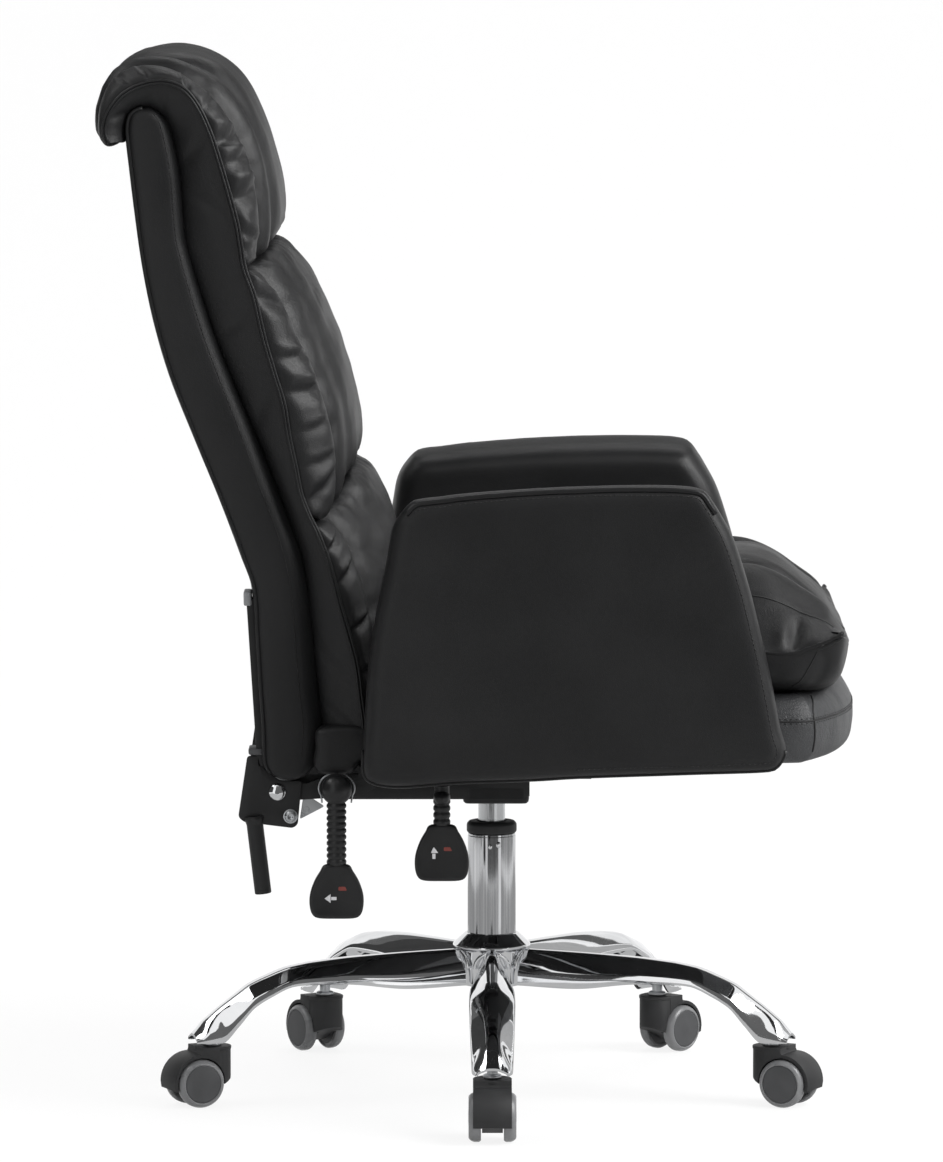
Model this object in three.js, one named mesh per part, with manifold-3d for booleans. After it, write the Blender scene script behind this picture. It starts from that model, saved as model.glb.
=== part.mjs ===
// A swivel recliner chair: thick padded seat and back, padded arms, a gas lift
// column, a chromed five-leg base on twin-wheel castors and two side levers.
//
// Millimetres, +Z up, the floor at z = 0. The chair faces -Y and its right side,
// which carries the levers, is at -X. Pieces that are drawn as seen from the
// right side live in a group whose axes are x forward, y up and z to the right.
import * as THREE from "three";
import { mergeVertices } from "three/addons/utils/BufferGeometryUtils.js";
import Module from "manifold-3d";

const wasm = await Module();
wasm.setup();

// General clearances.
const fitGap = 0.3;
const softGap = 0.5;
const overrun = 2;

// The castors.
const wheelRadius = 25;
const wheelThickness = 13;
const wheelInnerOffset = 11.5;
const webClearance = 1;
const webWidth = (wheelInnerOffset - webClearance) * 2;
const castorTrail = 20;
const hoodWall = 5;
const hoodRadius = wheelRadius + hoodWall;
const hoodWidth = 39;
const wheelClearance = 1.3;
const castorNeck = 11;
const stemRadius = 5.5;
const stemFlangeRadius = 9.5;
const stemFlangeHeight = 4;
const stemGrip = 19;
const stemDepth = 24;
const socketRadius = 19;
const socketHeight = 4;
const axleRadius = 3;
const axleCover = 2.5;
const axleEnd = wheelInnerOffset + wheelThickness - axleCover;

// The base: five pressed legs welded round a hub.
const legCount = 5;
const castorCircleRadius = 303;
const legTipOverhang = 21;
const legTipHeight = wheelRadius + hoodRadius + castorNeck;
const legRise = 84;
const legTopHeight = legTipHeight + legRise;
const legRootWidth = 34;
const legBellyWidth = 47;
const legWall = 2.5;

// The lift column and the hub round its foot.
const tubeRadius = 25;
const tubeWall = 2.5;
const tubeLength = 159;
const tubeFloor = 5;
const hubWall = 8.5;
const hubFlangeLip = 7.2;
const hubConeWall = 1.5;
const hubDepth = 38.5;
const hubConeHeight = 16;
const hubRadius = tubeRadius + hubWall;
const hubFlangeRadius = hubRadius + hubFlangeLip;
const hubConeRadius = tubeRadius + hubConeWall;
const hubBottom = legTopHeight - hubDepth;
const hubConeTop = legTopHeight + hubConeHeight;
const tubeTop = hubBottom + tubeLength;
const bushCollarHeight = 12;
const bushCollarLip = 1;
const bushLength = 80;
const bearingHeight = 8;
const bearingRadius = 16;
const bearingBottom = hubBottom + tubeFloor + fitGap;
const bearingTop = bearingBottom + bearingHeight;
const rodRadius = 5;
const rodShoulder = 5;
const shoulderTop = bearingTop + fitGap + rodShoulder;
const cylinderRadius = 14;
const cylinderWall = 4;
const cylinderRest = 15.9;
const cylinderReach = 60.5;
const cylinderBottom = shoulderTop + cylinderRest;
const cylinderTop = tubeTop + cylinderReach;
const cylinderPlug = 6;
const cylinderTaper = 0.8;
const cylinderTaperLength = 15;
const pistonLength = 12;
const pistonGap = 31;
const rodTop = cylinderTop - pistonGap;

// The chassis under the seat, and the board on it.
const chassisHalfWidth = 52;
const chassisSheet = 3;
const chassisFront = 39;
const chassisDepth = 41.2;
const socketRoof = 24.7;
const chassisTop = cylinderTop + socketRoof;
const chassisBottom = chassisTop - chassisDepth;
const bossRadius = 30;
const bossDrop = 7;
const bossNeckRadius = 22.5;
const boardBottom = chassisTop + fitGap;
const boardThickness = 12;
const boardFront = 262;
const boardShoulder = 100;
const boardNoseHalf = 150;

// The recline pivot. The back's outline is given in shares of a depth and a
// height, both measured from it.
const pivotBehind = 218;
const pivotDrop = 17.7;
const pivotHeight = chassisTop - pivotDrop;
const reclineMax = 35;
const backDepth = 185;
const backHeight = 754;
const pillowReachShare = 0.746;
const pillowFront = pivotBehind - backDepth * pillowReachShare;
const boardTuck = 55;
const boardRear = pillowFront + boardTuck;

// The levers.
const leverRodRadius = 4;
const leverClearance = 34;
const lockLeverRise = 6.6;
const lockLeverAhead = 60.5;
const lockLeverHeight = pivotHeight + lockLeverRise;
const lockLeverBehind = pivotBehind - lockLeverAhead;
const chassisRearMargin = 17.5;
const chassisRear = lockLeverBehind + chassisRearMargin;
const liftLeverBehind = 51;
const leverRodInner = 40;
const capRadius = 14;
const capThickness = 20;
const capGap = 3;
const neckRadius = 11.3;
const neckGroove = 1.7;
const paddleWidth = 53;
const paddleHeight = 52;
const paddleThickness = 12;
const liftNeckLength = 28;
const lockNeckLength = 78;
const ribPitch = 6.4;
const rodBendDrop = 30;

// The arms, measured from the rear end of their outline.
const armOuterHalfWidth = 315;
const armThickness = 78;
const armInner = armOuterHalfWidth - armThickness;
const armRearGap = 12.5;
const armRear = lockLeverBehind - capRadius - armRearGap;
const armLength = 427;
const armLap = 2;
const armBottom = boardBottom - armLap;
const armHeight = 307;
const armEdgeRound = 9;
const liftLeverHeight = armBottom - capRadius - capGap;

// The seat.
const padHeight = 67;
const padFront = 374;
const padTuck = 15;
const padRear = pillowFront + padTuck;
const cushionFront = 370;
const cushionRearGap = 14;
const cushionRear = pillowFront - cushionRearGap;
const seatRise = 220;
const pipingRise = 130;
const cushionTop = boardBottom + seatRise;
const cushionPiping = boardBottom + pipingRise;
const cushionSideGap = 3;
const frontBow = 52;

// The back.
const pillowSideGap = 9;
const pillowHalfWidth = armInner - pillowSideGap;
const shellInset = 13;
const shellHalfWidth = pillowHalfWidth - shellInset;
const shellEdgeRound = 8;

// The recline hinge.
const earInset = 25;
const earInner = shellHalfWidth - earInset;
const earSheet = 5;
const earReach = 113;
const earBossRadius = 10;
const flangeWidth = 30;
const flangeLength = 29;
const flangeSheet = 3;
const plateGap = 2;
const plateSheet = 4;
const earOuter = earInner + earSheet;
const plateInner = earOuter + plateGap;
const plateOuter = plateInner + plateSheet;
const leverOffset = plateOuter + leverClearance;
const uprightWidth = 30;
const uprightShare = 0.94;
const uprightGap = 0.7;
const stubRadius = 8.5;
const stubLength = 78;
const stubLean = 6.7;
const boltRadius = 5;
const boltHeadRadius = 9;
const boltHeadHeight = 5;
const boltTailRadius = 7.5;
const boltTailHeight = 6;

// The recline lock strut.
const lugRadius = 24;
const strutTilt = 9;
const crossTubeRadius = 8;
const strutLength = 140;
const strutRadius = 9;
const strutBore = 6;
const strutRodRadius = 4;
const strutPinRadius = 4;
const openPivotGap = 1.6;
const forkWall = 4;
const forkWidth = 16;
const strutRearGap = 26;
const strutRodInside = 60;

// Sides of round pieces.
const fineSides = 32;
const midSides = 20;
const smallSides = 12;
const ribSides = 8;

// Looks.
const chrome = { color: 0xd9dadc, roughness: 0.08, metalness: 1 };
const zinc = { color: 0xb9bbbd, roughness: 0.35, metalness: 1 };
const blackSteel = { color: 0x17181a, roughness: 0.45, metalness: 0.4 };
const blackPlastic = { color: 0x1d1e20, roughness: 0.55, metalness: 0 };
const greyRubber = { color: 0x6f7072, roughness: 0.5, metalness: 0 };
const leather = { color: 0x222325, roughness: 0.42, metalness: 0 };
const plywood = { color: 0xb08a5c, roughness: 0.8, metalness: 0 };

const degrees = THREE.MathUtils.degToRad;

// A closed geometry with its faces pointing out.
function facingOut(geometry) {
  let plain = geometry.index ? geometry : mergeVertices(geometry);
  const position = plain.getAttribute("position");
  const index = plain.index.array;
  const a = new THREE.Vector3();
  const b = new THREE.Vector3();
  const c = new THREE.Vector3();
  let volume = 0;
  for (let i = 0; i < index.length; i += 3) {
    a.fromBufferAttribute(position, index[i]);
    b.fromBufferAttribute(position, index[i + 1]);
    c.fromBufferAttribute(position, index[i + 2]);
    volume += a.dot(b.cross(c));
  }
  if (volume < 0) {
    const turned = Array.from(index);
    for (let i = 0; i < turned.length; i += 3) {
      [turned[i + 1], turned[i + 2]] = [turned[i + 2], turned[i + 1]];
    }
    plain = plain.clone();
    plain.setIndex(turned);
  }
  return plain;
}

function bare(geometry) {
  const copy = geometry.clone();
  copy.deleteAttribute("normal");
  copy.deleteAttribute("uv");
  return facingOut(mergeVertices(copy));
}

function solid(geometry) {
  const plain = bare(geometry);
  return new wasm.Manifold(new wasm.Mesh({
    numProp: 3,
    vertProperties: new Float32Array(plain.getAttribute("position").array),
    triVerts: new Uint32Array(plain.index.array),
  }));
}

function fromSolid(body) {
  const mesh = body.getMesh();
  const geometry = new THREE.BufferGeometry();
  geometry.setAttribute("position", new THREE.BufferAttribute(mesh.vertProperties, 3));
  geometry.setIndex(new THREE.BufferAttribute(mesh.triVerts, 1));
  geometry.computeVertexNormals();
  return geometry;
}

// A solid of revolution about the Z axis; profile points are [radius, height].
function turned(profile, segments) {
  const points = profile.map(([r, z]) => new THREE.Vector2(r, z));
  return bare(new THREE.LatheGeometry(points, segments).rotateX(Math.PI / 2));
}

// A round bar along Z from z = low to z = high.
function bar(radius, low, high, segments) {
  return turned([[0, low], [radius, low], [radius, high], [0, high]], segments);
}

function box(x0, x1, y0, y1, z0, z1) {
  const geometry = new THREE.BoxGeometry(x1 - x0, y1 - y0, z1 - z0);
  return geometry.translate((x0 + x1) / 2, (y0 + y1) / 2, (z0 + z1) / 2);
}

function extruded(shape, low, high, curveSegments) {
  const options = { depth: high - low, bevelEnabled: false, curveSegments };
  return new THREE.ExtrudeGeometry(shape, options).translate(0, 0, low);
}

function outlineShape(points) {
  return new THREE.Shape(points.map(([x, y]) => new THREE.Vector2(x, y)));
}

// A closed skin over rings of equal count; caps are filled triangle by triangle.
function lofted(rings, capFaces) {
  const count = rings[0].length;
  const positions = rings.flat().flatMap((p) => [p.x, p.y, p.z]);
  const index = [];
  for (let k = 0; k + 1 < rings.length; k++) {
    for (let i = 0; i < count; i++) {
      const j = (i + 1) % count;
      const low = k * count;
      const high = low + count;
      index.push(low + i, low + j, high + j, low + i, high + j, high + i);
    }
  }
  const last = (rings.length - 1) * count;
  for (const [a, b, c] of capFaces(rings[0])) index.push(a, c, b);
  for (const [a, b, c] of capFaces(rings[rings.length - 1])) {
    index.push(last + a, last + b, last + c);
  }
  const geometry = new THREE.BufferGeometry();
  geometry.setAttribute("position", new THREE.Float32BufferAttribute(positions, 3));
  geometry.setIndex(index);
  const closed = facingOut(geometry);
  closed.computeVertexNormals();
  return closed;
}

// Cap triangles of a ring, found in the plane of the two axes named.
function flatCap(axisA, axisB) {
  return (ring) => {
    const flat = ring.map((p) => new THREE.Vector2(p[axisA], p[axisB]));
    const faces = THREE.ShapeUtils.triangulateShape(flat, []);
    const clockwise = THREE.ShapeUtils.isClockWise(flat);
    return clockwise ? faces.map(([a, b, c]) => [a, c, b]) : faces;
  };
}

// An outline moved inwards by a distance at every corner.
function insetOutline(points, distance) {
  const flat = points.map(([x, y]) => new THREE.Vector2(x, y));
  const side = THREE.ShapeUtils.isClockWise(flat) ? -1 : 1;
  return flat.map((p, i) => {
    const before = flat[(i + flat.length - 1) % flat.length];
    const after = flat[(i + 1) % flat.length];
    const along = after.clone().sub(before).normalize();
    return [p.x - along.y * side * distance, p.y + along.x * side * distance];
  });
}

// A slab drawn in the side view, with stations [offset to the right, inset].
function roundedSlab(outline, stations) {
  const rings = stations.map(([offset, inset]) =>
    insetOutline(outline, inset).map(([x, y]) => new THREE.Vector3(x, y, offset)));
  return lofted(rings, flatCap("x", "y"));
}

function material({ color, roughness, metalness }) {
  return new THREE.MeshStandardMaterial({ color, roughness, metalness });
}

function named(name, geometry, looks) {
  const mesh = new THREE.Mesh(geometry, material(looks));
  mesh.name = name;
  return mesh;
}

// The base legs. Stations run from the hub to the tip: share of the length, of
// the height at the top edge, of the height at the bottom edge, of the width.
const legStationShares = [
  [0, 1, 0.56, 0.72], [0.23, 0.985, 0.56, 0.87], [0.43, 0.96, 0.65, 0.98],
  [0.57, 0.92, 0.67, 1], [0.655, 0.87, 0.655, 1], [0.72, 0.79, 0.56, 0.99],
  [0.795, 0.68, 0.41, 0.96], [0.857, 0.53, 0.17, 0.92], [0.905, 0.41, 0, 0.89],
  [0.96, 0.26, 0, 0.84], [1, 0.1, 0, 0.66],
];
const legArchPower = 2.6;
const legArchSteps = 8;
const legLength = castorCircleRadius + legTipOverhang - hubRadius - fitGap;

function legSkin(inset, drop) {
  const rise = legTopHeight - legTipHeight;
  const narrow = legRootWidth / legBellyWidth;
  const rings = legStationShares.map(([along, top, bottom, width], k) => {
    const last = legStationShares.length - 1;
    const shift = k === 0 ? inset : k === last ? -inset : 0;
    const half = (legBellyWidth * Math.max(width, narrow)) / 2 - inset;
    const floor = legTipHeight + bottom * rise - drop;
    const crown = legTipHeight + top * rise - inset;
    const ring = [];
    for (let i = 0; i <= legArchSteps; i++) {
      const turn = (Math.PI * i) / legArchSteps;
      const across = Math.abs(Math.cos(turn)) ** (2 / legArchPower) * Math.sign(Math.cos(turn));
      const up = Math.abs(Math.sin(turn)) ** (2 / legArchPower);
      const y = half * (i * 2 === legArchSteps ? 0 : across);
      const z = floor + (crown - floor) * (i % legArchSteps === 0 ? 0 : up);
      ring.push(new THREE.Vector3(along * legLength + shift, y, z));
    }
    return ring;
  });
  return lofted(rings, flatCap("y", "z"));
}

function legGeometry() {
  const start = hubRadius + fitGap;
  const stemAt = castorCircleRadius - start;
  const socketTop = legTipHeight + stemGrip + fitGap;
  const outer = solid(legSkin(0, 0));
  const hollow = solid(legSkin(legWall, overrun));
  const post = solid(bar(stemRadius + legWall, legTipHeight, legTopHeight, smallSides)
    .translate(stemAt, 0, 0)).intersect(outer);
  const hole = solid(bar(stemRadius + fitGap, legTipHeight - overrun, socketTop, smallSides)
    .translate(stemAt, 0, 0));
  return fromSolid(outer.subtract(hollow).add(post).subtract(hole)).translate(start, 0, 0);
}

function hubGeometry() {
  const bore = tubeRadius + fitGap;
  const flangeUnder = legTopHeight + fitGap * 2;
  const flangeEdge = flangeUnder + legWall;
  return turned([
    [bore, hubBottom], [hubRadius, hubBottom], [hubRadius, flangeUnder],
    [hubFlangeRadius, flangeUnder], [hubFlangeRadius, flangeEdge],
    [hubConeRadius, hubConeTop], [bore, hubConeTop], [bore, hubBottom],
  ], fineSides);
}

// The column: outer tube, guide bush, thrust bearing, piston rod, gas cylinder.
function tubeGeometry() {
  const bore = tubeRadius - tubeWall;
  const hole = rodRadius + fitGap;
  const floorTop = hubBottom + tubeFloor;
  return turned([
    [hole, hubBottom], [tubeRadius, hubBottom], [tubeRadius, tubeTop],
    [bore, tubeTop], [bore, floorTop], [hole, floorTop], [hole, hubBottom],
  ], fineSides);
}

function bushGeometry() {
  const bore = cylinderRadius + fitGap;
  const outer = tubeRadius - tubeWall - fitGap;
  const collarUnder = tubeTop + fitGap;
  const collarTop = collarUnder + bushCollarHeight;
  return turned([
    [bore, tubeTop - bushLength], [outer, tubeTop - bushLength], [outer, collarUnder],
    [tubeRadius + bushCollarLip, collarUnder], [tubeRadius + bushCollarLip, collarTop],
    [bore, collarTop], [bore, tubeTop - bushLength],
  ], fineSides);
}

function bearingGeometry() {
  const bore = rodRadius + fitGap * 2;
  return turned([
    [bore, bearingBottom], [bearingRadius, bearingBottom],
    [bearingRadius, bearingTop], [bore, bearingTop], [bore, bearingBottom],
  ], midSides);
}

function rodGeometry() {
  const shoulderLow = bearingTop + fitGap;
  const shoulder = rodRadius * 2;
  const piston = cylinderRadius - cylinderWall - fitGap;
  return turned([
    [0, hubBottom], [rodRadius, hubBottom], [rodRadius, shoulderLow],
    [shoulder, shoulderLow], [shoulder, shoulderTop], [rodRadius, shoulderTop],
    [rodRadius, rodTop - pistonLength], [piston, rodTop - pistonLength],
    [piston, rodTop], [0, rodTop],
  ], smallSides);
}

function cylinderGeometry() {
  const bore = cylinderRadius - cylinderWall;
  const hole = rodRadius + fitGap;
  const taperLow = cylinderTop - cylinderTaperLength;
  return turned([
    [0, cylinderTop - cylinderPlug], [bore, cylinderTop - cylinderPlug],
    [bore, cylinderBottom + cylinderPlug], [hole, cylinderBottom + cylinderPlug],
    [hole, cylinderBottom], [cylinderRadius, cylinderBottom], [cylinderRadius, taperLow],
    [cylinderRadius - cylinderTaper, cylinderTop], [0, cylinderTop],
  ], fineSides);
}

// The castors, with their trail along X and the stem axis at the origin.
const stemFlangeBottom = legTipHeight - fitGap - stemFlangeHeight;
const housingTop = stemFlangeBottom - fitGap;
const wheelCorner = wheelRadius / Math.cos(Math.PI / midSides);

function stemGeometry() {
  const low = housingTop - stemDepth;
  return turned([
    [0, low], [stemRadius, low], [stemRadius, stemFlangeBottom],
    [stemFlangeRadius, stemFlangeBottom], [stemFlangeRadius, legTipHeight - fitGap],
    [stemRadius, legTipHeight - fitGap], [stemRadius, legTipHeight + stemGrip],
    [0, legTipHeight + stemGrip],
  ], smallSides);
}

// The housing's side view: the hood is an arc about the wheel centre, and the
// rest of the points are shares of the wheel radius from the floor and stem.
const housingToeShare = 1.15;
const housingHeelShares = [[1.96, 0.74], [1.7, 0.66], [1.2, 0.42], [0.8, 0.4], [0.3, 0.66]];

function housingGeometry() {
  const half = hoodWidth / 2;
  const shape = new THREE.Shape();
  shape.moveTo(-socketRadius, wheelRadius * housingToeShare);
  shape.lineTo(-socketRadius, housingTop);
  shape.lineTo(socketRadius, housingTop);
  shape.lineTo(socketRadius, housingTop - socketHeight);
  shape.lineTo(castorTrail, wheelRadius + hoodRadius);
  shape.absarc(castorTrail, wheelRadius, hoodRadius, Math.PI / 2, 0, true);
  for (const [alongShare, upShare] of housingHeelShares) {
    shape.lineTo(wheelRadius * alongShare, wheelRadius * upShare);
  }
  const upright = (geometry) => geometry.rotateX(Math.PI / 2);
  let body = solid(upright(extruded(shape, -half, half, ribSides)));
  const round = bar(socketRadius, -overrun, housingTop + overrun, midSides);
  const square = box(-socketRadius * 2, 0, -half - overrun, half + overrun,
    -overrun * 2, housingTop + overrun * 2);
  body = body.subtract(solid(square).subtract(solid(round)));
  for (const side of [-1, 1]) {
    const slot = upright(bar(wheelCorner + wheelClearance, webWidth / 2, half + overrun, midSides));
    slot.scale(1, side, 1).translate(castorTrail, 0, wheelRadius);
    body = body.subtract(solid(slot));
  }
  const stemHole = bar(stemRadius + fitGap, housingTop - stemDepth - fitGap,
    housingTop + overrun, smallSides);
  const axleHole = upright(bar(axleRadius + fitGap, -half, half, smallSides));
  axleHole.translate(castorTrail, 0, wheelRadius);
  return fromSolid(body.subtract(solid(stemHole)).subtract(solid(axleHole)));
}

function axleGeometry() {
  const pin = bar(axleRadius, -axleEnd, axleEnd, smallSides).rotateX(Math.PI / 2);
  return pin.translate(castorTrail, 0, wheelRadius);
}

const treadShare = 0.66;
const discShare = 0.74;

function wheelGeometry(side) {
  const face = wheelInnerOffset + wheelThickness;
  const bore = axleRadius + fitGap;
  const shoulder = wheelInnerOffset + wheelThickness * treadShare;
  const wheel = turned([
    [0, axleEnd + fitGap], [bore, axleEnd + fitGap], [bore, wheelInnerOffset],
    [wheelCorner, wheelInnerOffset], [wheelCorner, shoulder],
    [wheelCorner * discShare, face], [0, face],
  ], midSides);
  wheel.rotateZ(Math.PI / midSides).rotateX(Math.PI / 2).scale(1, side, 1);
  return facingOut(wheel.translate(castorTrail, 0, wheelRadius));
}

// The chassis: a downward channel with the column's tapered socket.
function chassisGeometry() {
  const outer = solid(box(-chassisRear, chassisFront, chassisBottom, chassisTop,
    -chassisHalfWidth, chassisHalfWidth));
  const inner = solid(box(-chassisRear - overrun, chassisFront - chassisSheet,
    chassisBottom - overrun, chassisTop - chassisSheet,
    chassisSheet - chassisHalfWidth, chassisHalfWidth - chassisSheet));
  const bossLow = chassisBottom - bossDrop;
  const boss = turned([
    [0, bossLow], [bossRadius, bossLow], [bossRadius, chassisBottom],
    [bossNeckRadius, chassisTop - chassisSheet / 2], [0, chassisTop - chassisSheet / 2],
  ], midSides).rotateX(-Math.PI / 2);
  const socket = bar(cylinderRadius + fitGap, bossLow - overrun, cylinderTop + fitGap, fineSides)
    .rotateX(-Math.PI / 2);
  const pin = bar(strutPinRadius, -chassisHalfWidth + fitGap, chassisHalfWidth - fitGap, smallSides)
    .translate(strutAnchor.x, strutAnchor.y, 0);
  let body = outer.subtract(inner).add(solid(boss)).subtract(solid(socket)).add(solid(pin));
  const levers = [[liftLeverBehind, liftLeverHeight], [lockLeverBehind, lockLeverHeight]];
  for (const [behind, height] of levers) {
    const hole = bar(leverRodRadius + fitGap, chassisHalfWidth - chassisSheet - overrun,
      chassisHalfWidth + overrun, smallSides).translate(-behind, height, 0);
    body = body.subtract(solid(hole));
  }
  return fromSolid(body);
}

// The arms, drawn counter-clockwise from the lower rear corner: shares of the
// arm's length and height.
const armOutlineShares = [
  [0, 0.05], [0.025, 0.014], [0.091, 0.001], [0.226, 0.014], [0.398, 0.024],
  [0.568, 0.037], [0.936, 0.053], [0.978, 0.07], [1, 0.12], [0.985, 0.193],
  [0.964, 0.346], [0.936, 0.519], [0.91, 0.662], [0.875, 0.812], [0.847, 0.89],
  [0.822, 0.948], [0.787, 0.991], [0.636, 1], [0.431, 0.992], [0.254, 0.974],
  [0.186, 0.962], [0.123, 0.951], [0.1, 0.922], [0.072, 0.86], [0.056, 0.737],
  [0.035, 0.593], [0.014, 0.401], [0.005, 0.219],
];

function armGeometry(side) {
  const outline = armOutlineShares.map(([along, up]) =>
    [along * armLength - armRear, armBottom + up * armHeight]);
  const stations = [
    [armInner, 0], [armInner + armThickness * 0.75, 0],
    [armOuterHalfWidth - armEdgeRound * 0.7, armEdgeRound * 0.2],
    [armOuterHalfWidth - armEdgeRound * 0.2, armEdgeRound * 0.5],
    [armOuterHalfWidth, armEdgeRound],
  ];
  return roundedSlab(outline, stations.map(([offset, inset]) => [offset * side, inset]));
}

// The seat. A ring is [share of the half width, share of the local height];
// the height share runs from the underside (0) over the piping to the crown (1).
const cushionHalfWidth = armInner - cushionSideGap;
const cushionBottom = boardBottom + boardThickness + fitGap + padHeight + softGap;
const cushionTopShares = [
  [1, 0], [0.985, 0.2], [0.94, 0.42], [0.85, 0.58], [0.74, 0.66], [0.67, 0.6],
  [0.6, 0.76], [0.45, 0.9], [0.22, 0.98], [0, 1],
];
const cushionUnderShares = [[0.975, 0.7], [0.93, 0.25], [0.86, 0], [0.4, 0]];
// Stations from rear to front: share of the length, crown, piping and underside
// heights as shares from the underside to the top, and share of the half width.
const cushionStationShares = [
  [0, 0.52, 0.32, 0.1, 0.97], [0.02, 0.64, 0.34, 0.02, 0.985], [0.07, 0.76, 0.35, 0, 1],
  [0.2, 0.82, 0.35, 0, 1], [0.38, 0.88, 0.35, 0, 1], [0.55, 0.95, 0.35, 0, 1],
  [0.72, 1, 0.35, 0, 1], [0.82, 0.93, 0.36, 0, 1], [0.88, 0.82, 0.36, 0, 0.995],
  [0.93, 0.69, 0.36, 0, 0.985], [0.97, 0.55, 0.36, 0.05, 0.97], [1, 0.4, 0.36, 0.26, 0.94],
];

function mirrored(half) {
  const other = half.filter(([across]) => across !== 0).map(([across, up]) => [-across, up]);
  return [...half, ...other.reverse()];
}

// How far a point at a share of the half width lies behind the middle of the
// bowed front edge.
const bowStartShare = 0.45;
const bowGrowth = 1.4;

function bow(alongShare, acrossShare) {
  const grow = Math.max(0, (alongShare - bowStartShare) / (1 - bowStartShare));
  return frontBow * Math.min(1, grow * bowGrowth) * acrossShare * acrossShare;
}

function seatCushionGeometry() {
  const rise = cushionTop - cushionBottom;
  const length = cushionFront + cushionRear;
  const rings = cushionStationShares.map(([along, crown, piping, under, width]) => {
    const x = along * length - cushionRear;
    const place = (across, y) => new THREE.Vector3(
      x - bow(along, across), y, across * width * cushionHalfWidth);
    const crownY = cushionBottom + crown * rise;
    const pipingY = Math.min(crownY, cushionPiping + (piping - 0.35) * rise);
    const underY = cushionBottom + under * rise;
    const top = mirrored(cushionTopShares).map(([across, up]) =>
      place(across, pipingY + (crownY - pipingY) * up));
    const below = mirrored(cushionUnderShares).reverse().map(([across, up]) =>
      place(across, underY + (pipingY - underY) * up));
    return [...top, ...below];
  });
  return lofted(rings, flatCap("z", "y"));
}

const padRingShares = [
  [1, 0.5], [0.985, 0.8], [0.93, 0.97], [0.8, 1], [0.3, 1],
];
const padStationShares = [
  [0, 0.9, 0.06, 0.99], [0.02, 1, 0, 1], [0.45, 1, 0, 1], [0.8, 1, 0.02, 1],
  [0.93, 0.98, 0.04, 1], [0.965, 0.95, 0.08, 0.995], [0.985, 0.86, 0.18, 0.985],
  [1, 0.66, 0.36, 0.97],
];

function seatPadGeometry() {
  const bottom = boardBottom + boardThickness + fitGap;
  const length = padFront + padRear;
  const upper = mirrored(padRingShares);
  const lower = upper.map(([across, up]) => [across, 1 - up]).slice(1, -1).reverse();
  const rings = padStationShares.map(([along, crown, under, width]) => {
    const low = bottom + under * padHeight;
    const high = bottom + crown * padHeight;
    return [...upper, ...lower].map(([across, up]) => new THREE.Vector3(
      along * length - padRear - bow(along, across), low + (high - low) * up,
      across * width * cushionHalfWidth));
  });
  return lofted(rings, flatCap("z", "y"));
}

// The back. Pillow stations run from the bottom up: the point on the shell and
// the point on the crown, each as [depth share, height share] from the pivot,
// then a share of the half width.
const lowerPillowShares = [
  [0.27, 0.045, 0.425, 0.047, 0.955], [0.271, 0.072, 0.432, 0.076, 0.965],
  [0.27, 0.098, 0.541, 0.103, 0.965], [0.254, 0.122, 0.692, 0.127, 0.985],
  [0.238, 0.162, 0.746, 0.164, 1], [0.222, 0.208, 0.73, 0.211, 1],
  [0.195, 0.268, 0.676, 0.269, 1], [0.151, 0.328, 0.611, 0.325, 1],
  [0.076, 0.377, 0.53, 0.377, 0.99], [0.011, 0.418, 0.449, 0.419, 0.98],
  [-0.011, 0.432, 0.405, 0.431, 0.965],
];
const middlePillowShares = [
  [-0.016, 0.439, 0.405, 0.44, 0.965], [-0.043, 0.454, 0.427, 0.456, 0.98],
  [-0.092, 0.483, 0.432, 0.481, 0.99], [-0.157, 0.52, 0.416, 0.517, 1],
  [-0.238, 0.57, 0.357, 0.568, 1], [-0.319, 0.621, 0.281, 0.621, 1],
  [-0.389, 0.674, 0.189, 0.674, 0.99], [-0.438, 0.714, 0.081, 0.715, 0.98],
  [-0.459, 0.729, -0.005, 0.728, 0.96],
];
const headPillowShares = [
  [-0.47, 0.736, -0.005, 0.736, 0.955], [-0.476, 0.752, 0.027, 0.756, 0.97],
  [-0.486, 0.785, 0.016, 0.785, 0.98], [-0.497, 0.825, -0.011, 0.828, 0.98],
  [-0.524, 0.865, -0.059, 0.871, 0.975], [-0.546, 0.898, -0.141, 0.923, 0.965],
  [-0.584, 0.918, -0.259, 0.967, 0.955], [-0.649, 0.927, -0.443, 0.995, 0.945],
  [-0.724, 0.931, -0.649, 1, 0.94], [-0.789, 0.928, -0.843, 0.984, 0.93],
  [-0.827, 0.919, -0.957, 0.954, 0.925], [-0.832, 0.902, -1, 0.92, 0.92],
  [-0.827, 0.878, -0.995, 0.883, 0.915], [-0.822, 0.862, -0.973, 0.862, 0.905],
];
// The shell's underside and rear face, from its lower front corner round to the
// point where the head pillow ends.
const shellUnderShares = [[0.259, 0.04], [0.151, 0.016], [0.016, 0.016]];
const shellRearShares = [
  [-0.086, 0.04], [-0.1, 0.09], [-0.114, 0.141], [-0.13, 0.208], [-0.146, 0.275],
  [-0.2, 0.314], [-0.324, 0.395], [-0.459, 0.476], [-0.589, 0.557], [-0.676, 0.63],
  [-0.735, 0.702], [-0.778, 0.777], [-0.811, 0.845],
];
// A pillow ring: share of the half width, share of the reach from shell to crown.
const pillowFrontShares = [
  [1, 0.34], [0.975, 0.48], [0.92, 0.62], [0.83, 0.72], [0.74, 0.76], [0.68, 0.72],
  [0.61, 0.82], [0.46, 0.93], [0.24, 0.985], [0, 1],
];
const pillowRearShares = [[0.985, 0.16], [0.94, 0.03], [0.88, 0], [0.4, 0]];

const backPoint = (depthShare, heightShare) =>
  new THREE.Vector2(depthShare * backDepth, heightShare * backHeight);

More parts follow.
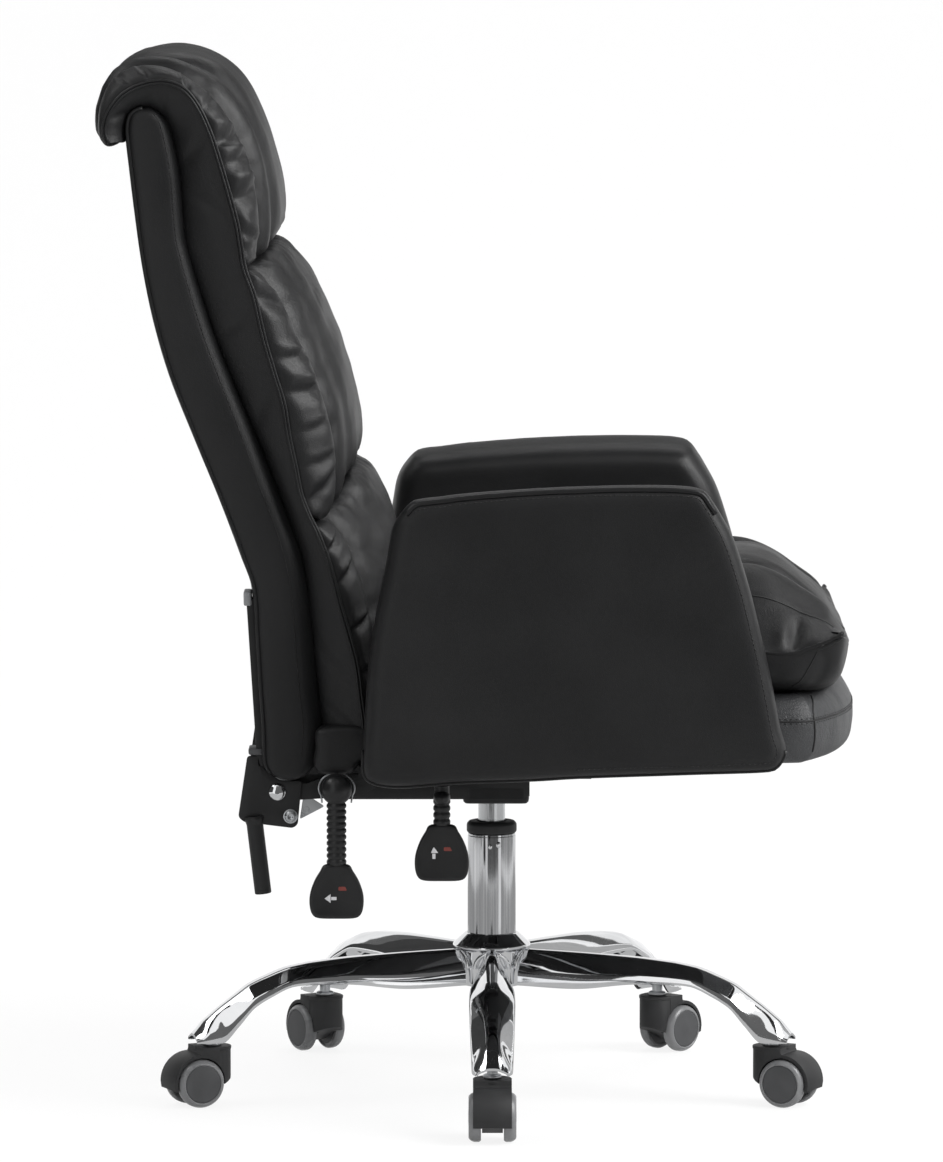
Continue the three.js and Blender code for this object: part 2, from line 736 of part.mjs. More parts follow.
function pillowGeometry(stationShares) {
  const rings = stationShares.map(([innerX, innerY, crownX, crownY, width]) => {
    const inner = backPoint(innerX, innerY);
    const reach = backPoint(crownX, crownY).sub(inner);
    const start = softGap / reach.length();
    const place = ([across, depth]) => {
      const p = inner.clone().addScaledVector(reach, start + depth * (1 - start));
      return new THREE.Vector3(p.x, p.y, across * width * pillowHalfWidth);
    };
    const front = mirrored(pillowFrontShares).map(place);
    const rear = mirrored(pillowRearShares).reverse().map(place);
    return [...front, ...rear];
  });
  return lofted(rings, flatCap("z", "x"));
}

// The shell's front follows the pillows, from above the lower pillow's drop.
const dropStations = 2;

function shellGeometry() {
  const front = [...lowerPillowShares.slice(dropStations), ...middlePillowShares,
    ...headPillowShares];
  const outline = [
    ...[...shellUnderShares].reverse(), ...front, ...[...shellRearShares].reverse(),
  ].map(([depthShare, heightShare]) => backPoint(depthShare, heightShare).toArray());
  return roundedSlab(outline, [
    [-shellHalfWidth, shellEdgeRound],
    [-shellHalfWidth + shellEdgeRound * 0.4, shellEdgeRound * 0.3],
    [-shellHalfWidth + shellEdgeRound * 1.5, 0], [shellHalfWidth - shellEdgeRound * 1.5, 0],
    [shellHalfWidth - shellEdgeRound * 0.4, shellEdgeRound * 0.3],
    [shellHalfWidth, shellEdgeRound],
  ]);
}

// The recline hinge, measured from the pivot like the back.
function earGeometry(side) {
  const top = chassisTop - pivotHeight;
  const arm = new THREE.Shape();
  arm.moveTo(0, -earBossRadius);
  arm.lineTo(earReach - flangeLength, -earBossRadius * 0.5);
  arm.lineTo(earReach, top - flangeSheet * 2);
  arm.lineTo(earReach, top);
  arm.lineTo(earReach - flangeLength * 2, top);
  arm.lineTo(earBossRadius * 3, earBossRadius * 0.8);
  arm.lineTo(0, earBossRadius);
  arm.absarc(0, 0, earBossRadius, Math.PI / 2, Math.PI * 1.5, false);
  let body = solid(extruded(arm, earInner, earOuter, ribSides));
  body = body.add(solid(box(earReach - flangeLength, earReach, top - flangeSheet, top,
    earInner - flangeWidth, earOuter)));
  body = body.subtract(solid(bar(boltRadius + fitGap, earInner - overrun,
    earOuter + overrun, smallSides)));
  if (side > 0) {
    const hole = bar(leverRodRadius + fitGap, earInner - overrun, earOuter + overrun, smallSides);
    hole.translate(pivotBehind - lockLeverBehind, lockLeverHeight - pivotHeight, 0);
    body = body.subtract(solid(hole));
  }
  return facingOut(fromSolid(body).scale(1, 1, side));
}

// The plate's outline below the shell, in shares of the back's depth and height.
const plateTopShares = [0.135, 0.012];
const plateShares = [
  [-0.094, 0.037], [-0.1, 0.049], [-0.165, 0.049], [-0.215, -0.034], [-0.182, -0.041],
  [-0.078, -0.044], [0.085, -0.049], [0.112, -0.044],
];
const stubTopShares = [-0.128, -0.035];

function bracketGeometry(side) {
  const plateTop = backPoint(...shellUnderShares[1]).y - fitGap;
  const plate = outlineShape([
    ...plateTopShares.map((x) => [x * backDepth, plateTop]),
    ...plateShares.map(([x, y]) => backPoint(x, y).toArray()),
  ]);
  let body = solid(extruded(plate, plateInner, plateOuter, 1));
  const low = backPoint(...shellRearShares[0]);
  const high = backPoint(...shellRearShares[4]);
  const uprightHeight = low.distanceTo(high) * uprightShare;
  const run = high.clone().sub(low).normalize();
  const out = new THREE.Vector2(-run.y, run.x);
  const corner = (along, off) => low.clone().addScaledVector(run, along)
    .addScaledVector(out, off).toArray();
  const upright = outlineShape([
    corner(0, uprightGap), corner(uprightHeight, uprightGap),
    corner(uprightHeight, uprightGap + plateSheet),
    corner(-plateSheet, uprightGap + plateSheet),
  ]);
  body = body.add(solid(extruded(upright, plateOuter - uprightWidth, plateOuter, 1)));
  // Only the right bracket carries the tube stub.
  if (side > 0) {
    const stubTop = backPoint(...stubTopShares);
    const stub = bar(stubRadius, -stubLength, 0, smallSides).rotateX(-Math.PI / 2);
    stub.rotateZ(-degrees(stubLean));
    stub.translate(stubTop.x, stubTop.y, (plateInner + plateOuter) / 2);
    body = body.add(solid(stub));
  }
  body = body.subtract(solid(bar(boltRadius + fitGap, plateInner - overrun,
    plateOuter + overrun, smallSides)));
  return facingOut(fromSolid(body).scale(1, 1, side));
}

function boltGeometry(side) {
  const head = plateOuter + fitGap;
  const tail = earInner - fitGap;
  const bolt = turned([
    [0, tail - boltTailHeight], [boltTailRadius, tail - boltTailHeight],
    [boltTailRadius, tail], [boltRadius, tail], [boltRadius, head],
    [boltHeadRadius, head], [boltHeadRadius * 0.9, head + boltHeadHeight * 0.45],
    [boltHeadRadius * 0.55, head + boltHeadHeight * 0.85], [0, head + boltHeadHeight],
  ], smallSides);
  return facingOut(bolt.scale(1, 1, side));
}

// The lock strut. Its line is the chord of the path that the cross tube takes
// about the pivot, so the rod slides along it and the fork only needs a small
// clearance round the tube.
const halfSwing = degrees(reclineMax / 2);
const lugStart = degrees(strutTilt) - halfSwing;
const crossTubeAt = new THREE.Vector2(
  lugRadius * Math.sin(lugStart), -lugRadius * Math.cos(lugStart));
const strutLine = new THREE.Vector2(Math.cos(degrees(strutTilt)), Math.sin(degrees(strutTilt)));
const lugSag = (lugRadius * (1 - Math.cos(halfSwing))) / 2;
const strutBaseline = new THREE.Vector2(-strutLine.y, strutLine.x).multiplyScalar(-lugSag);
const strutRear = crossTubeAt.clone().add(strutBaseline)
  .add(new THREE.Vector2(-pivotBehind, pivotHeight));
const strutTravel = 2 * lugRadius * Math.sin(halfSwing);
const strutAnchor = strutRear.clone().addScaledVector(strutLine, strutLength);

function strutTubeGeometry() {
  const eye = strutPinRadius + fitGap;
  const start = -strutLength + strutRearGap + strutTravel / 2;
  const alongX = (geometry) => geometry.rotateY(Math.PI / 2);
  let body = solid(alongX(bar(strutRadius, start, strutRadius, smallSides)));
  body = body.subtract(solid(alongX(bar(strutBore, start + legWall, -strutRadius, smallSides))));
  body = body.subtract(solid(alongX(bar(strutRodRadius + fitGap, start - overrun,
    start + legWall + overrun, smallSides))));
  body = body.subtract(solid(bar(eye, -strutRadius - overrun, strutRadius + overrun, smallSides)));
  return fromSolid(body);
}

function strutRodGeometry() {
  const slot = crossTubeRadius + openPivotGap;
  const tall = slot + forkWall;
  const fork = box(-crossTubeRadius, slot + forkWall, -tall, tall, -forkWidth / 2, forkWidth / 2);
  const mouth = box(-crossTubeRadius - overrun, 0, -slot, slot, -forkWidth, forkWidth);
  const throat = bar(slot, -forkWidth, forkWidth, midSides);
  const end = slot + forkWall + strutRodInside;
  const rod = bar(strutRodRadius, slot + forkWall / 2, end, smallSides).rotateY(Math.PI / 2);
  const body = solid(fork).subtract(solid(mouth)).subtract(solid(throat)).add(solid(rod));
  return fromSolid(body);
}

function crossTubeGeometry() {
  const end = plateInner - fitGap;
  return bar(crossTubeRadius, -end, end, midSides).translate(crossTubeAt.x, crossTubeAt.y, 0);
}

// A lever: a cranked rod turning in the chassis, and a moulded grip with a
// domed cap, a corrugated neck and a flat paddle.
function crankedRod(radius, inner, extra) {
  const across = solid(bar(radius, inner, 0, smallSides));
  const down = solid(bar(radius, 0, rodBendDrop + extra, smallSides).rotateX(Math.PI / 2));
  const corner = solid(bare(new THREE.SphereGeometry(radius, smallSides, ribSides)));
  return across.add(down).add(corner);
}

function leverRodGeometry() {
  return fromSolid(crankedRod(leverRodRadius, leverRodInner - leverOffset, 0));
}

// The paddle's outline: shares of its width and of its height, from the neck.
const paddleShares = [
  [-0.2, 0.06], [-0.2, -0.12], [-0.34, -0.26], [-0.45, -0.45], [-0.5, -0.68], [-0.47, -0.88],
  [-0.38, -0.98], [0, -1], [0.38, -0.98], [0.47, -0.88], [0.5, -0.68], [0.45, -0.45],
  [0.34, -0.26], [0.2, -0.12], [0.2, 0.06],
];

function gripGeometry(neckLength) {
  const ribs = Math.round(neckLength / ribPitch);
  const pitch = neckLength / ribs;
  const profile = [[0, 0], [neckRadius, 0]];
  for (let i = 0; i < ribs; i++) {
    profile.push([neckRadius - neckGroove, (i + 0.5) * pitch]);
    profile.push([neckRadius, (i + 1) * pitch]);
  }
  profile.push([0, neckLength]);
  const neck = turned(profile, ribSides).rotateX(Math.PI / 2);
  const half = capThickness / 2;
  const cap = turned([
    [0, -half], [capRadius * 0.85, -half], [capRadius, -half * 0.6], [capRadius, 0],
    [capRadius * 0.85, half * 0.7], [capRadius * 0.45, half * 1.2], [0, half * 1.35],
  ], smallSides);
  const outline = paddleShares.map(([x, y]) => [x * paddleWidth, y * paddleHeight - neckLength]);
  const flat = paddleThickness / 2;
  const paddle = roundedSlab(outline, [
    [-flat, paddleThickness * 0.16], [-flat * 0.7, 0], [flat * 0.7, 0],
    [flat, paddleThickness * 0.16],
  ]);
  let body = solid(cap).add(solid(neck)).add(solid(paddle));
  body = body.subtract(crankedRod(leverRodRadius + fitGap, -capRadius - overrun, fitGap));
  return fromSolid(body);
}

// Assembly.
const chair = new THREE.Group();
const nearReach = castorCircleRadius + castorTrail + hoodRadius;
chair.position.set((nearReach - armOuterHalfWidth) / 2,
  (padFront - pivotBehind - backDepth) / 2, 0);

const sideAxes = new THREE.Matrix4().makeBasis(
  new THREE.Vector3(0, -1, 0), new THREE.Vector3(0, 0, 1), new THREE.Vector3(-1, 0, 0));

// A group whose axes are x forward, y up and z to the right, at a place given
// along those axes from the foot of the column.
function sideGroup(x, y, z) {
  const outer = new THREE.Group();
  outer.setRotationFromMatrix(sideAxes);
  const inner = new THREE.Group();
  inner.position.set(x, y, z);
  outer.add(inner);
  chair.add(outer);
  return inner;
}

// The base stands with one leg pointing to the chair's right, and each castor
// is turned to a heading of its own, in degrees from that side to the rear.
const castorHeadings = [0, 65, 149, -137, -63.5];

function addBase() {
  chair.add(named("base_hub", hubGeometry(), chrome));
  chair.add(named("column_tube", tubeGeometry(), chrome));
  chair.add(named("column_guide_bush", bushGeometry(), blackPlastic));
  const leg = legGeometry();
  const stem = stemGeometry();
  const housing = housingGeometry();
  const axle = axleGeometry();
  const wheels = { a: wheelGeometry(-1), b: wheelGeometry(1) };
  for (let k = 0; k < legCount; k++) {
    const turn = Math.PI - (2 * Math.PI * k) / legCount;
    const spoke = new THREE.Group();
    spoke.rotation.z = turn;
    spoke.add(named(`base_leg_${k + 1}`, leg, chrome));
    chair.add(spoke);
    const castor = new THREE.Group();
    castor.position.set(Math.cos(turn), Math.sin(turn), 0).multiplyScalar(castorCircleRadius);
    castor.rotation.z = Math.PI - degrees(castorHeadings[k]);
    castor.add(named(`castor_stem_${k + 1}`, stem, zinc));
    castor.add(named(`castor_housing_${k + 1}`, housing, blackPlastic));
    castor.add(named(`castor_axle_${k + 1}`, axle, zinc));
    for (const [letter, wheel] of Object.entries(wheels)) {
      castor.add(named(`castor_wheel_${k + 1}${letter}`, wheel, greyRubber));
    }
    chair.add(castor);
  }
}

function addColumn() {
  chair.add(named("thrust_bearing", bearingGeometry(), zinc));
  chair.add(named("piston_rod", rodGeometry(), zinc));
  chair.add(named("gas_cylinder", cylinderGeometry(), blackSteel));
}

function addSeat() {
  const side = sideGroup(0, 0, 0);
  side.add(named("chassis", chassisGeometry(), blackSteel));
  const boardHalf = armInner - fitGap;
  const boardTop = boardBottom + boardThickness;
  const rearBoard = box(-boardRear, boardShoulder, boardBottom, boardTop, -boardHalf, boardHalf);
  const noseBoard = box(0, boardFront, boardBottom, boardTop, -boardNoseHalf, boardNoseHalf);
  const board = fromSolid(solid(rearBoard).add(solid(noseBoard)));
  side.add(named("seat_board", board, plywood));
  side.add(named("seat_pad", seatPadGeometry(), leather));
  side.add(named("seat_cushion", seatCushionGeometry(), leather));
  side.add(named("arm_right", armGeometry(1), leather));
  side.add(named("arm_left", armGeometry(-1), leather));
  const anchor = sideGroup(strutAnchor.x, strutAnchor.y, 0);
  anchor.rotation.z = degrees(strutTilt);
  anchor.add(named("lock_strut_tube", strutTubeGeometry(), blackSteel));
  const fork = sideGroup(strutRear.x, strutRear.y, 0);
  fork.rotation.z = degrees(strutTilt);
  fork.add(named("lock_strut_rod", strutRodGeometry(), zinc));
}

function addBack() {
  const back = sideGroup(-pivotBehind, pivotHeight, 0);
  for (const [word, side] of [["right", 1], ["left", -1]]) {
    back.add(named(`hinge_ear_${word}`, earGeometry(side), zinc));
    back.add(named(`pivot_bolt_${word}`, boltGeometry(side), chrome));
    back.add(named(`back_bracket_${word}`, bracketGeometry(side), blackSteel));
  }
  back.add(named("back_cross_tube", crossTubeGeometry(), blackSteel));
  back.add(named("back_shell", shellGeometry(), leather));
  back.add(named("lower_pillow", pillowGeometry(lowerPillowShares), leather));
  back.add(named("middle_pillow", pillowGeometry(middlePillowShares), leather));
  back.add(named("head_pillow", pillowGeometry(headPillowShares), leather));
}

function addLevers() {
  const levers = [
    ["lift_lever", liftLeverBehind, liftLeverHeight, liftNeckLength],
    ["lock_lever", lockLeverBehind, lockLeverHeight, lockNeckLength],
  ];
  for (const [word, behind, height, neckLength] of levers) {
    const lever = sideGroup(-behind, height, leverOffset);
    lever.add(named(`${word}_rod`, leverRodGeometry(), zinc));
    lever.add(named(`${word}_grip`, gripGeometry(neckLength), blackPlastic));
  }
}

addBase();
addColumn();
addSeat();
addBack();
addLevers();

export default chair;
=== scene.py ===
"""Looks of a reclining office chair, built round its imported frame.

Every length is in metres. Points that were read in the side view are written in
millimetres as (forward, up) from the foot of the lift column, and SideView turns
them into the frame's own axes: the chair faces -Y and its right side is -X.
"""

import logging
import math
from collections.abc import Callable, Sequence
from dataclasses import dataclass, field
from enum import Enum
from functools import cache

import bmesh
import bpy
from mathutils import Matrix, Vector, noise
from mathutils.bvhtree import BVHTree
from mathutils.kdtree import KDTree


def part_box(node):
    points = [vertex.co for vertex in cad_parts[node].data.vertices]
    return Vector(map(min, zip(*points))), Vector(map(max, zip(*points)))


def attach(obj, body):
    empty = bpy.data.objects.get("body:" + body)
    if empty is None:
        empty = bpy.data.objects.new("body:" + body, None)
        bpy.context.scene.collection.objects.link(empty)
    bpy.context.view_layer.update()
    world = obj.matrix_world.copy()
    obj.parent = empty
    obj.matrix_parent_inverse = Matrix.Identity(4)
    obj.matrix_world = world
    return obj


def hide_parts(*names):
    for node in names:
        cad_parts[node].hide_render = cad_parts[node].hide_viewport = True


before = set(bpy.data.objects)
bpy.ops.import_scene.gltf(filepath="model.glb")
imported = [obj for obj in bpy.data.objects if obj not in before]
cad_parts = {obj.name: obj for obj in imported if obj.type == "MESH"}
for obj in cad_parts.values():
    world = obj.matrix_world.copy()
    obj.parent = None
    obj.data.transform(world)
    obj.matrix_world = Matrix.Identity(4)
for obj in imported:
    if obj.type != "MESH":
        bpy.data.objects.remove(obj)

log = logging.getLogger("chair")

MM = 0.001
MERGE = 1e-6
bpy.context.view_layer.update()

Point = tuple[float, float]
Triple = tuple[float, float, float]
Line = Sequence[Point]
Shape = bmesh.types.BMesh
Edge = bmesh.types.BMEdge
Piece = bpy.types.Object
Socket = bpy.types.NodeSocket
Surface = Callable[[float, float], Vector]
Place = Callable[[float, float, float], Vector]


class Side(Enum):
    """The chair's own right and left."""

    RIGHT = 1
    LEFT = -1

    @property
    def word(self) -> str:
        """The side's name as the frame's nodes spell it."""
        return "right" if self is Side.RIGHT else "left"


@dataclass(frozen=True)
class SideView:
    """Turns side-view millimetres into the frame's metres."""

    foot: Vector

    def at(self, forward: float, up: float, right: float = 0.0) -> Vector:
        """A point of the side view.

        Args:
            forward: millimetres in front of the column's axis.
            up: millimetres above the floor.
            right: millimetres to the chair's right of the column's axis.

        Returns:
            The point in the frame, in metres.
        """
        return Vector((self.foot.x - right * MM, self.foot.y - forward * MM, up * MM))

    def plan(self, forward: float, right: float, up: float) -> Vector:
        """The same point as at() gives, from a plan view's forward and right and a height."""
        return self.at(forward, up, right)

    def read(self, point: Vector) -> Triple:
        """The inverse of at(): (forward, up, right) in millimetres."""
        return ((self.foot.y - point.y) / MM, point.z / MM, (self.foot.x - point.x) / MM)


def centre_of(node: str) -> Vector:
    """The middle of a frame node's box."""
    low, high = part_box(node)
    return (low + high) / 2


column_axis = centre_of("column_tube")
VIEW = SideView(Vector((column_axis.x, column_axis.y, 0.0)))


# Curves.


def smoothstep(x: float) -> float:
    """A share that eases in and out between 0 and 1."""
    x = min(1.0, max(0.0, x))
    return x * x * (3 - 2 * x)


def curve_through(points: Sequence[Vector], share: float) -> Vector:
    """A point of the smooth curve through points that are evenly spaced in share.

    Args:
        points: the points, in order.
        share: the place along them, from 0 to 1.

    Returns:
        The point on a Catmull-Rom curve.
    """
    last = len(points) - 1
    place = min(max(share, 0.0), 1.0) * last
    k = min(int(place), last - 1)
    t = place - k
    p1, p2 = points[k], points[k + 1]
    p0 = points[k - 1] if k > 0 else p1 * 2 - p2
    p3 = points[k + 2] if k + 2 <= last else p2 * 2 - p1
    return 0.5 * (
        p1 * 2 + (p2 - p0) * t + (p0 * 2 - p1 * 5 + p2 * 4 - p3) * t * t
        + (p1 * 3 - p0 - p2 * 3 + p3) * t * t * t
    )


def evenly(points: Sequence[Vector], step: float, closed: bool = False) -> list[Vector]:
    """Points a fixed distance apart along a smooth curve.

    Args:
        points: the points that the curve passes through.
        step: the distance wanted between two results, in metres.
        closed: whether the curve comes back to its first point.

    Returns:
        The points, without the first one repeated at the end.
    """
    route = list(points)
    if closed:
        route = [points[-1], *points, points[0], points[1]]
    parts = 12
    steps = (len(route) - 1) * parts
    fine = [curve_through(route, k / steps) for k in range(steps + 1)]
    if closed:
        fine = fine[parts : parts * (len(points) + 1) + 1]
    lengths = [0.0]
    for a, b in zip(fine, fine[1:]):
        lengths.append(lengths[-1] + (b - a).length)
    count = max(2, round(lengths[-1] / step))
    result, k = [], 0
    for i in range(count if closed else count + 1):
        want = lengths[-1] * i / count
        while k + 2 < len(lengths) and lengths[k + 1] < want:
            k += 1
        gap = lengths[k + 1] - lengths[k]
        t = (want - lengths[k]) / gap if gap > 0 else 0.0
        result.append(fine[k].lerp(fine[k + 1], t))
    return result


# Mesh building.


def face_outwards(bm: Shape) -> None:
    """Merges doubles and points every face outwards."""
    bmesh.ops.remove_doubles(bm, verts=bm.verts, dist=MERGE)
    bmesh.ops.recalc_face_normals(bm, faces=bm.faces)


def wrapped_sheet(across: int, along: int, surface: Surface, draws: Sequence[float] = ()) -> Shape:
    """A grid bent round into a sleeve, whose open ends are drawn in and closed.

    Args:
        across: faces round the sleeve.
        along: faces along it.
        surface: the point for a share round the sleeve and a share along it.
        draws: for each new ring in an open end, the share of the end's size that is left.

    Returns:
        The closed shape.
    """
    bm = bmesh.new()
    bmesh.ops.create_grid(bm, x_segments=across, y_segments=along, size=0.5)
    uv = bm.loops.layers.uv.verify()
    for face in bm.faces:
        for loop in face.loops:
            loop[uv].uv = (loop.vert.co.x + 0.5, loop.vert.co.y + 0.5)
    for vert, u, v in [(v, v.co.x + 0.5, v.co.y + 0.5) for v in bm.verts]:
        vert.co = surface(u, v)
    bmesh.ops.remove_doubles(bm, verts=bm.verts, dist=MERGE)
    close_ends(bm, draws)
    face_outwards(bm)
    return bm


def close_ends(bm: Shape, draws: Sequence[float]) -> None:
    """Closes every open rim by drawing it in towards its middle.

    Args:
        bm: the shape.
        draws: for each new ring, the share of the rim's size that is left.
    """
    left = {e for e in bm.edges if e.is_boundary}
    loops: list[list[Edge]] = []
    while left:
        loop = [left.pop()]
        link: Edge | None = loop[0]
        while link:
            link = next((e for v in loop[-1].verts for e in v.link_edges if e in left), None)
            if link:
                left.remove(link)
                loop.append(link)
        loops.append(loop)
    for loop in loops:
        verts = {v for e in loop for v in e.verts}
        middle = sum((v.co for v in verts), Vector()) / len(verts)
        edges, before = loop, 1.0
        for draw in draws:
            made = bmesh.ops.extrude_edge_only(bm, edges=edges)["geom"]
            edges = [g for g in made if isinstance(g, Edge)]
            for vert in {v for e in edges for v in e.verts}:
                vert.co = middle + (vert.co - middle) * (draw / before)
            before = draw
        bmesh.ops.holes_fill(bm, edges=edges, sides=0)
    bmesh.ops.triangulate(bm, faces=[f for f in bm.faces if len(f.verts) > 4])


def swept(
    path: Sequence[Vector],
    radius: float,
    sides: int = 8,
    closed: bool = False,
    swell: Callable[[float], float] | None = None,
) -> Shape:
    """A round bar along a path.

    Args:
        path: the middle line.
        radius: the bar's radius.
        sides: faces round it.
        closed: whether the last point joins the first.
        swell: a factor on the radius for a share along the path.

    Returns:
        The closed bar.
    """
    bm = bmesh.new()
    count = len(path)
    tangents = []
    for i in range(count):
        before = path[i - 1] if i > 0 or closed else path[i]
        after = path[(i + 1) % count] if i + 1 < count or closed else path[i]
        tangents.append((after - before).normalized())
    normal = tangents[0].orthogonal().normalized()
    edges: list[Edge] = []
    first: list[Edge] = []
    for i, (point, tangent) in enumerate(zip(path, tangents)):
        normal = (normal - tangent * normal.dot(tangent)).normalized()
        side = tangent.cross(normal)
        size = radius * (swell(i / (count - 1)) if swell else 1.0)
        if i == 0:
            ring = bmesh.ops.create_circle(bm, segments=sides, radius=1.0)["verts"]
            edges = list({e for v in ring for e in v.link_edges})
            first = edges
            angles = {v: math.atan2(v.co.y, v.co.x) for v in ring}
        else:
            old = {v for e in edges for v in e.verts}
            made = bmesh.ops.extrude_edge_only(bm, edges=edges)["geom"]
            edges = [g for g in made if isinstance(g, Edge)]
            edges = [e for e in edges if not (set(e.verts) & old)]
            ring = {v for e in edges for v in e.verts}
            renewed = {}
            for vert in ring:
                partner = next(
                    e.other_vert(vert) for e in vert.link_edges if e.other_vert(vert) in old
                )
                renewed[vert] = angles[partner]
            angles = renewed
        for vert in ring:
            turn = angles[vert]
            vert.co = point + (normal * math.cos(turn) + side * math.sin(turn)) * size
    if closed:
        bmesh.ops.bridge_loops(bm, edges=[*first, *edges])
    else:
        bmesh.ops.holes_fill(bm, edges=[e for e in bm.edges if e.is_boundary], sides=0)
    face_outwards(bm)
    return bm


def turned(profile: Line, steps: int = 48) -> Shape:
    """A solid of revolution about Z.

    Args:
        profile: (radius, height) pairs in metres, from one end of the axis to the
            other, or closed on itself.
        steps: faces round it.

    Returns:
        The closed shape, with its axis on Z.
    """
    bm = bmesh.new()
    verts = [bm.verts.new((r, 0.0, z)) for r, z in profile]
    edges = [bm.edges.new(pair) for pair in zip(verts, verts[1:])]
    bmesh.ops.spin(
        bm, geom=[*verts, *edges], cent=(0, 0, 0), axis=(0, 0, 1), angle=math.tau, steps=steps,
        use_merge=True, use_duplicate=False,
    )
    face_outwards(bm)
    return bm


def rounding_at(
    before: Point, corner: Point, after: Point, radius: float, most: float, steps: int
) -> list[Point]:
    """The points that round one corner.

    Args:
        before: the corner before it.
        corner: the corner.
        after: the corner after it.
        radius: how far from the corner the rounding begins.
        most: the largest share of a side that it may take up.
        steps: the number of steps in it.

    Returns:
        The points, from the side before to the side after.
    """
    here = Vector(corner)
    back, on = Vector(before) - here, Vector(after) - here
    cut = min(radius, back.length * most, on.length * most)
    a, b = here + back.normalized() * cut, here + on.normalized() * cut
    shares = [k / steps for k in range(steps + 1)]
    points = [a.lerp(here, t).lerp(here.lerp(b, t), t) for t in shares]
    return [(p.x, p.y) for p in points]


def rounded_profile(corners: Sequence[Triple], steps: int = 4) -> list[Point]:
    """A profile with rounded corners, from the (radius, height, rounding) of each corner."""
    result: list[Point] = []
    for i, (r, z, rounding) in enumerate(corners):
        if rounding <= 0 or i in (0, len(corners) - 1):
            result.append((r, z))
        else:
            before, after = corners[i - 1][:2], corners[i + 1][:2]
            result += rounding_at(before, (r, z), after, rounding, 0.49, steps)
    return result


def lathed(corners: Sequence[Triple], steps: int) -> Shape:
    """A solid of revolution from (radius, height, rounding) corners in millimetres."""
    return turned([(r * MM, z * MM) for r, z in rounded_profile(corners)], steps)


def placed(bm: Shape, matrix: Matrix) -> Shape:
    """Moves a shape by a matrix and hands it back."""
    bmesh.ops.transform(bm, matrix=matrix, verts=bm.verts)
    return bm


def joined(shapes: Sequence[Shape]) -> Shape:
    """Puts several shapes into one bmesh and frees them."""
    whole = bmesh.new()
    for shape in shapes:
        part = bpy.data.meshes.new("part")
        shape.to_mesh(part)
        shape.free()
        whole.from_mesh(part)
        bpy.data.meshes.remove(part)
    return whole


def subdivided(obj: Piece) -> None:
    """Adds a subdivision surface whose view and render levels agree."""
    modifier = obj.modifiers.new("smooth", "SUBSURF")
    modifier.levels = modifier.render_levels = 1


def surface_of(obj: Piece) -> BVHTree:
    """A search tree over a piece as its modifiers leave it."""
    depsgraph = bpy.context.evaluated_depsgraph_get()
    return BVHTree.FromObject(obj, depsgraph)


def applied(obj: Piece) -> None:
    """Applies a piece's modifiers."""
    depsgraph = bpy.context.evaluated_depsgraph_get()
    mesh = bpy.data.meshes.new_from_object(obj.evaluated_get(depsgraph))
    obj.modifiers.clear()
    obj.data = mesh


def laid_on(
    path: Sequence[Vector], tree: BVHTree, lift: float = 0.0, reach: float = 0.03
) -> tuple[list[Vector], list[Vector]]:
    """Drops a path on a surface.

    Args:
        path: points near the surface.
        tree: the surface.
        lift: how far outside it the result lies, in metres.
        reach: the furthest that a point may move.

    Returns:
        The points on the surface and the surface's normals there.
    """
    spots, normals = [], []
    for point in path:
        spot, normal, _, _ = tree.find_nearest(point, reach)
        if spot is None:
            spot, normal = point, Vector((0, 0, 1))
        spots.append(spot + normal * lift)
        normals.append(normal)
    return spots, normals


def cord_on(
    tree: BVHTree, path: Sequence[Vector], step: float, lift: float, radius: float,
    sides: int = 6, reach: float = 0.03, late: bool = False,
) -> Shape:
    """A cord, or the thread in a seam, that lies on a surface.

    Args:
        tree: the surface.
        path: the line that it follows.
        step: the distance between its points, in millimetres.
        lift: how far outside the surface its middle lies, in millimetres.
        radius: its radius, in millimetres.
        sides: faces round it.
        reach: the furthest that a point may move, in metres.
        late: whether the points are spaced after they lie on the surface, not before.

    Returns:
        The closed cord.
    """
    spots, _ = laid_on(path if late else evenly(path, step * MM), tree, lift * MM, reach)
    return swept(evenly(spots, step * MM) if late else spots, radius * MM, sides)


def stitches(path: Sequence[Vector], tree: BVHTree, pitch: float = 0.0052) -> Shape:
    """A row of thread stitches on a surface.

    Args:
        path: the line that they follow.
        tree: the surface that they lie on.
        pitch: the distance from one stitch to the next.

    Returns:
        All the stitches in one bmesh.
    """
    length, thickness = 0.0034, 0.0011
    bm = bmesh.new()
    spots, normals = laid_on(evenly(path, pitch), tree, thickness * 0.12)
    for spot, after, out in zip(spots, spots[1:], normals):
        along = (after - spot).normalized()
        normal = (out - along * out.dot(along)).normalized()
        turn = Matrix((along, normal.cross(along), normal)).transposed().to_4x4()
        size = Matrix.Diagonal((length / 2, thickness / 2, thickness / 2.4, 1.0))
        place = Matrix.Translation((spot + after) / 2) @ turn @ size
        bmesh.ops.create_icosphere(bm, subdivisions=1, radius=1.0, matrix=place)
    return bm


def outline_of(corners: Line, step: float) -> list[Point]:
    """A smooth closed outline through corner points, at an even step (millimetres)."""
    ring = evenly([Vector((x, y, 0.0)) for x, y in corners], step, closed=True)
    return [(p.x, p.y) for p in ring]


def rounded_corners(corners: Line, radius: float, steps: int = 5) -> list[Point]:
    """A closed outline of straight sides with rounded corners, in millimetres."""
    result: list[Point] = []
    for i, corner in enumerate(corners):
        after = corners[(i + 1) % len(corners)]
        result += rounding_at(corners[i - 1], corner, after, radius, 0.45, steps)
    return result


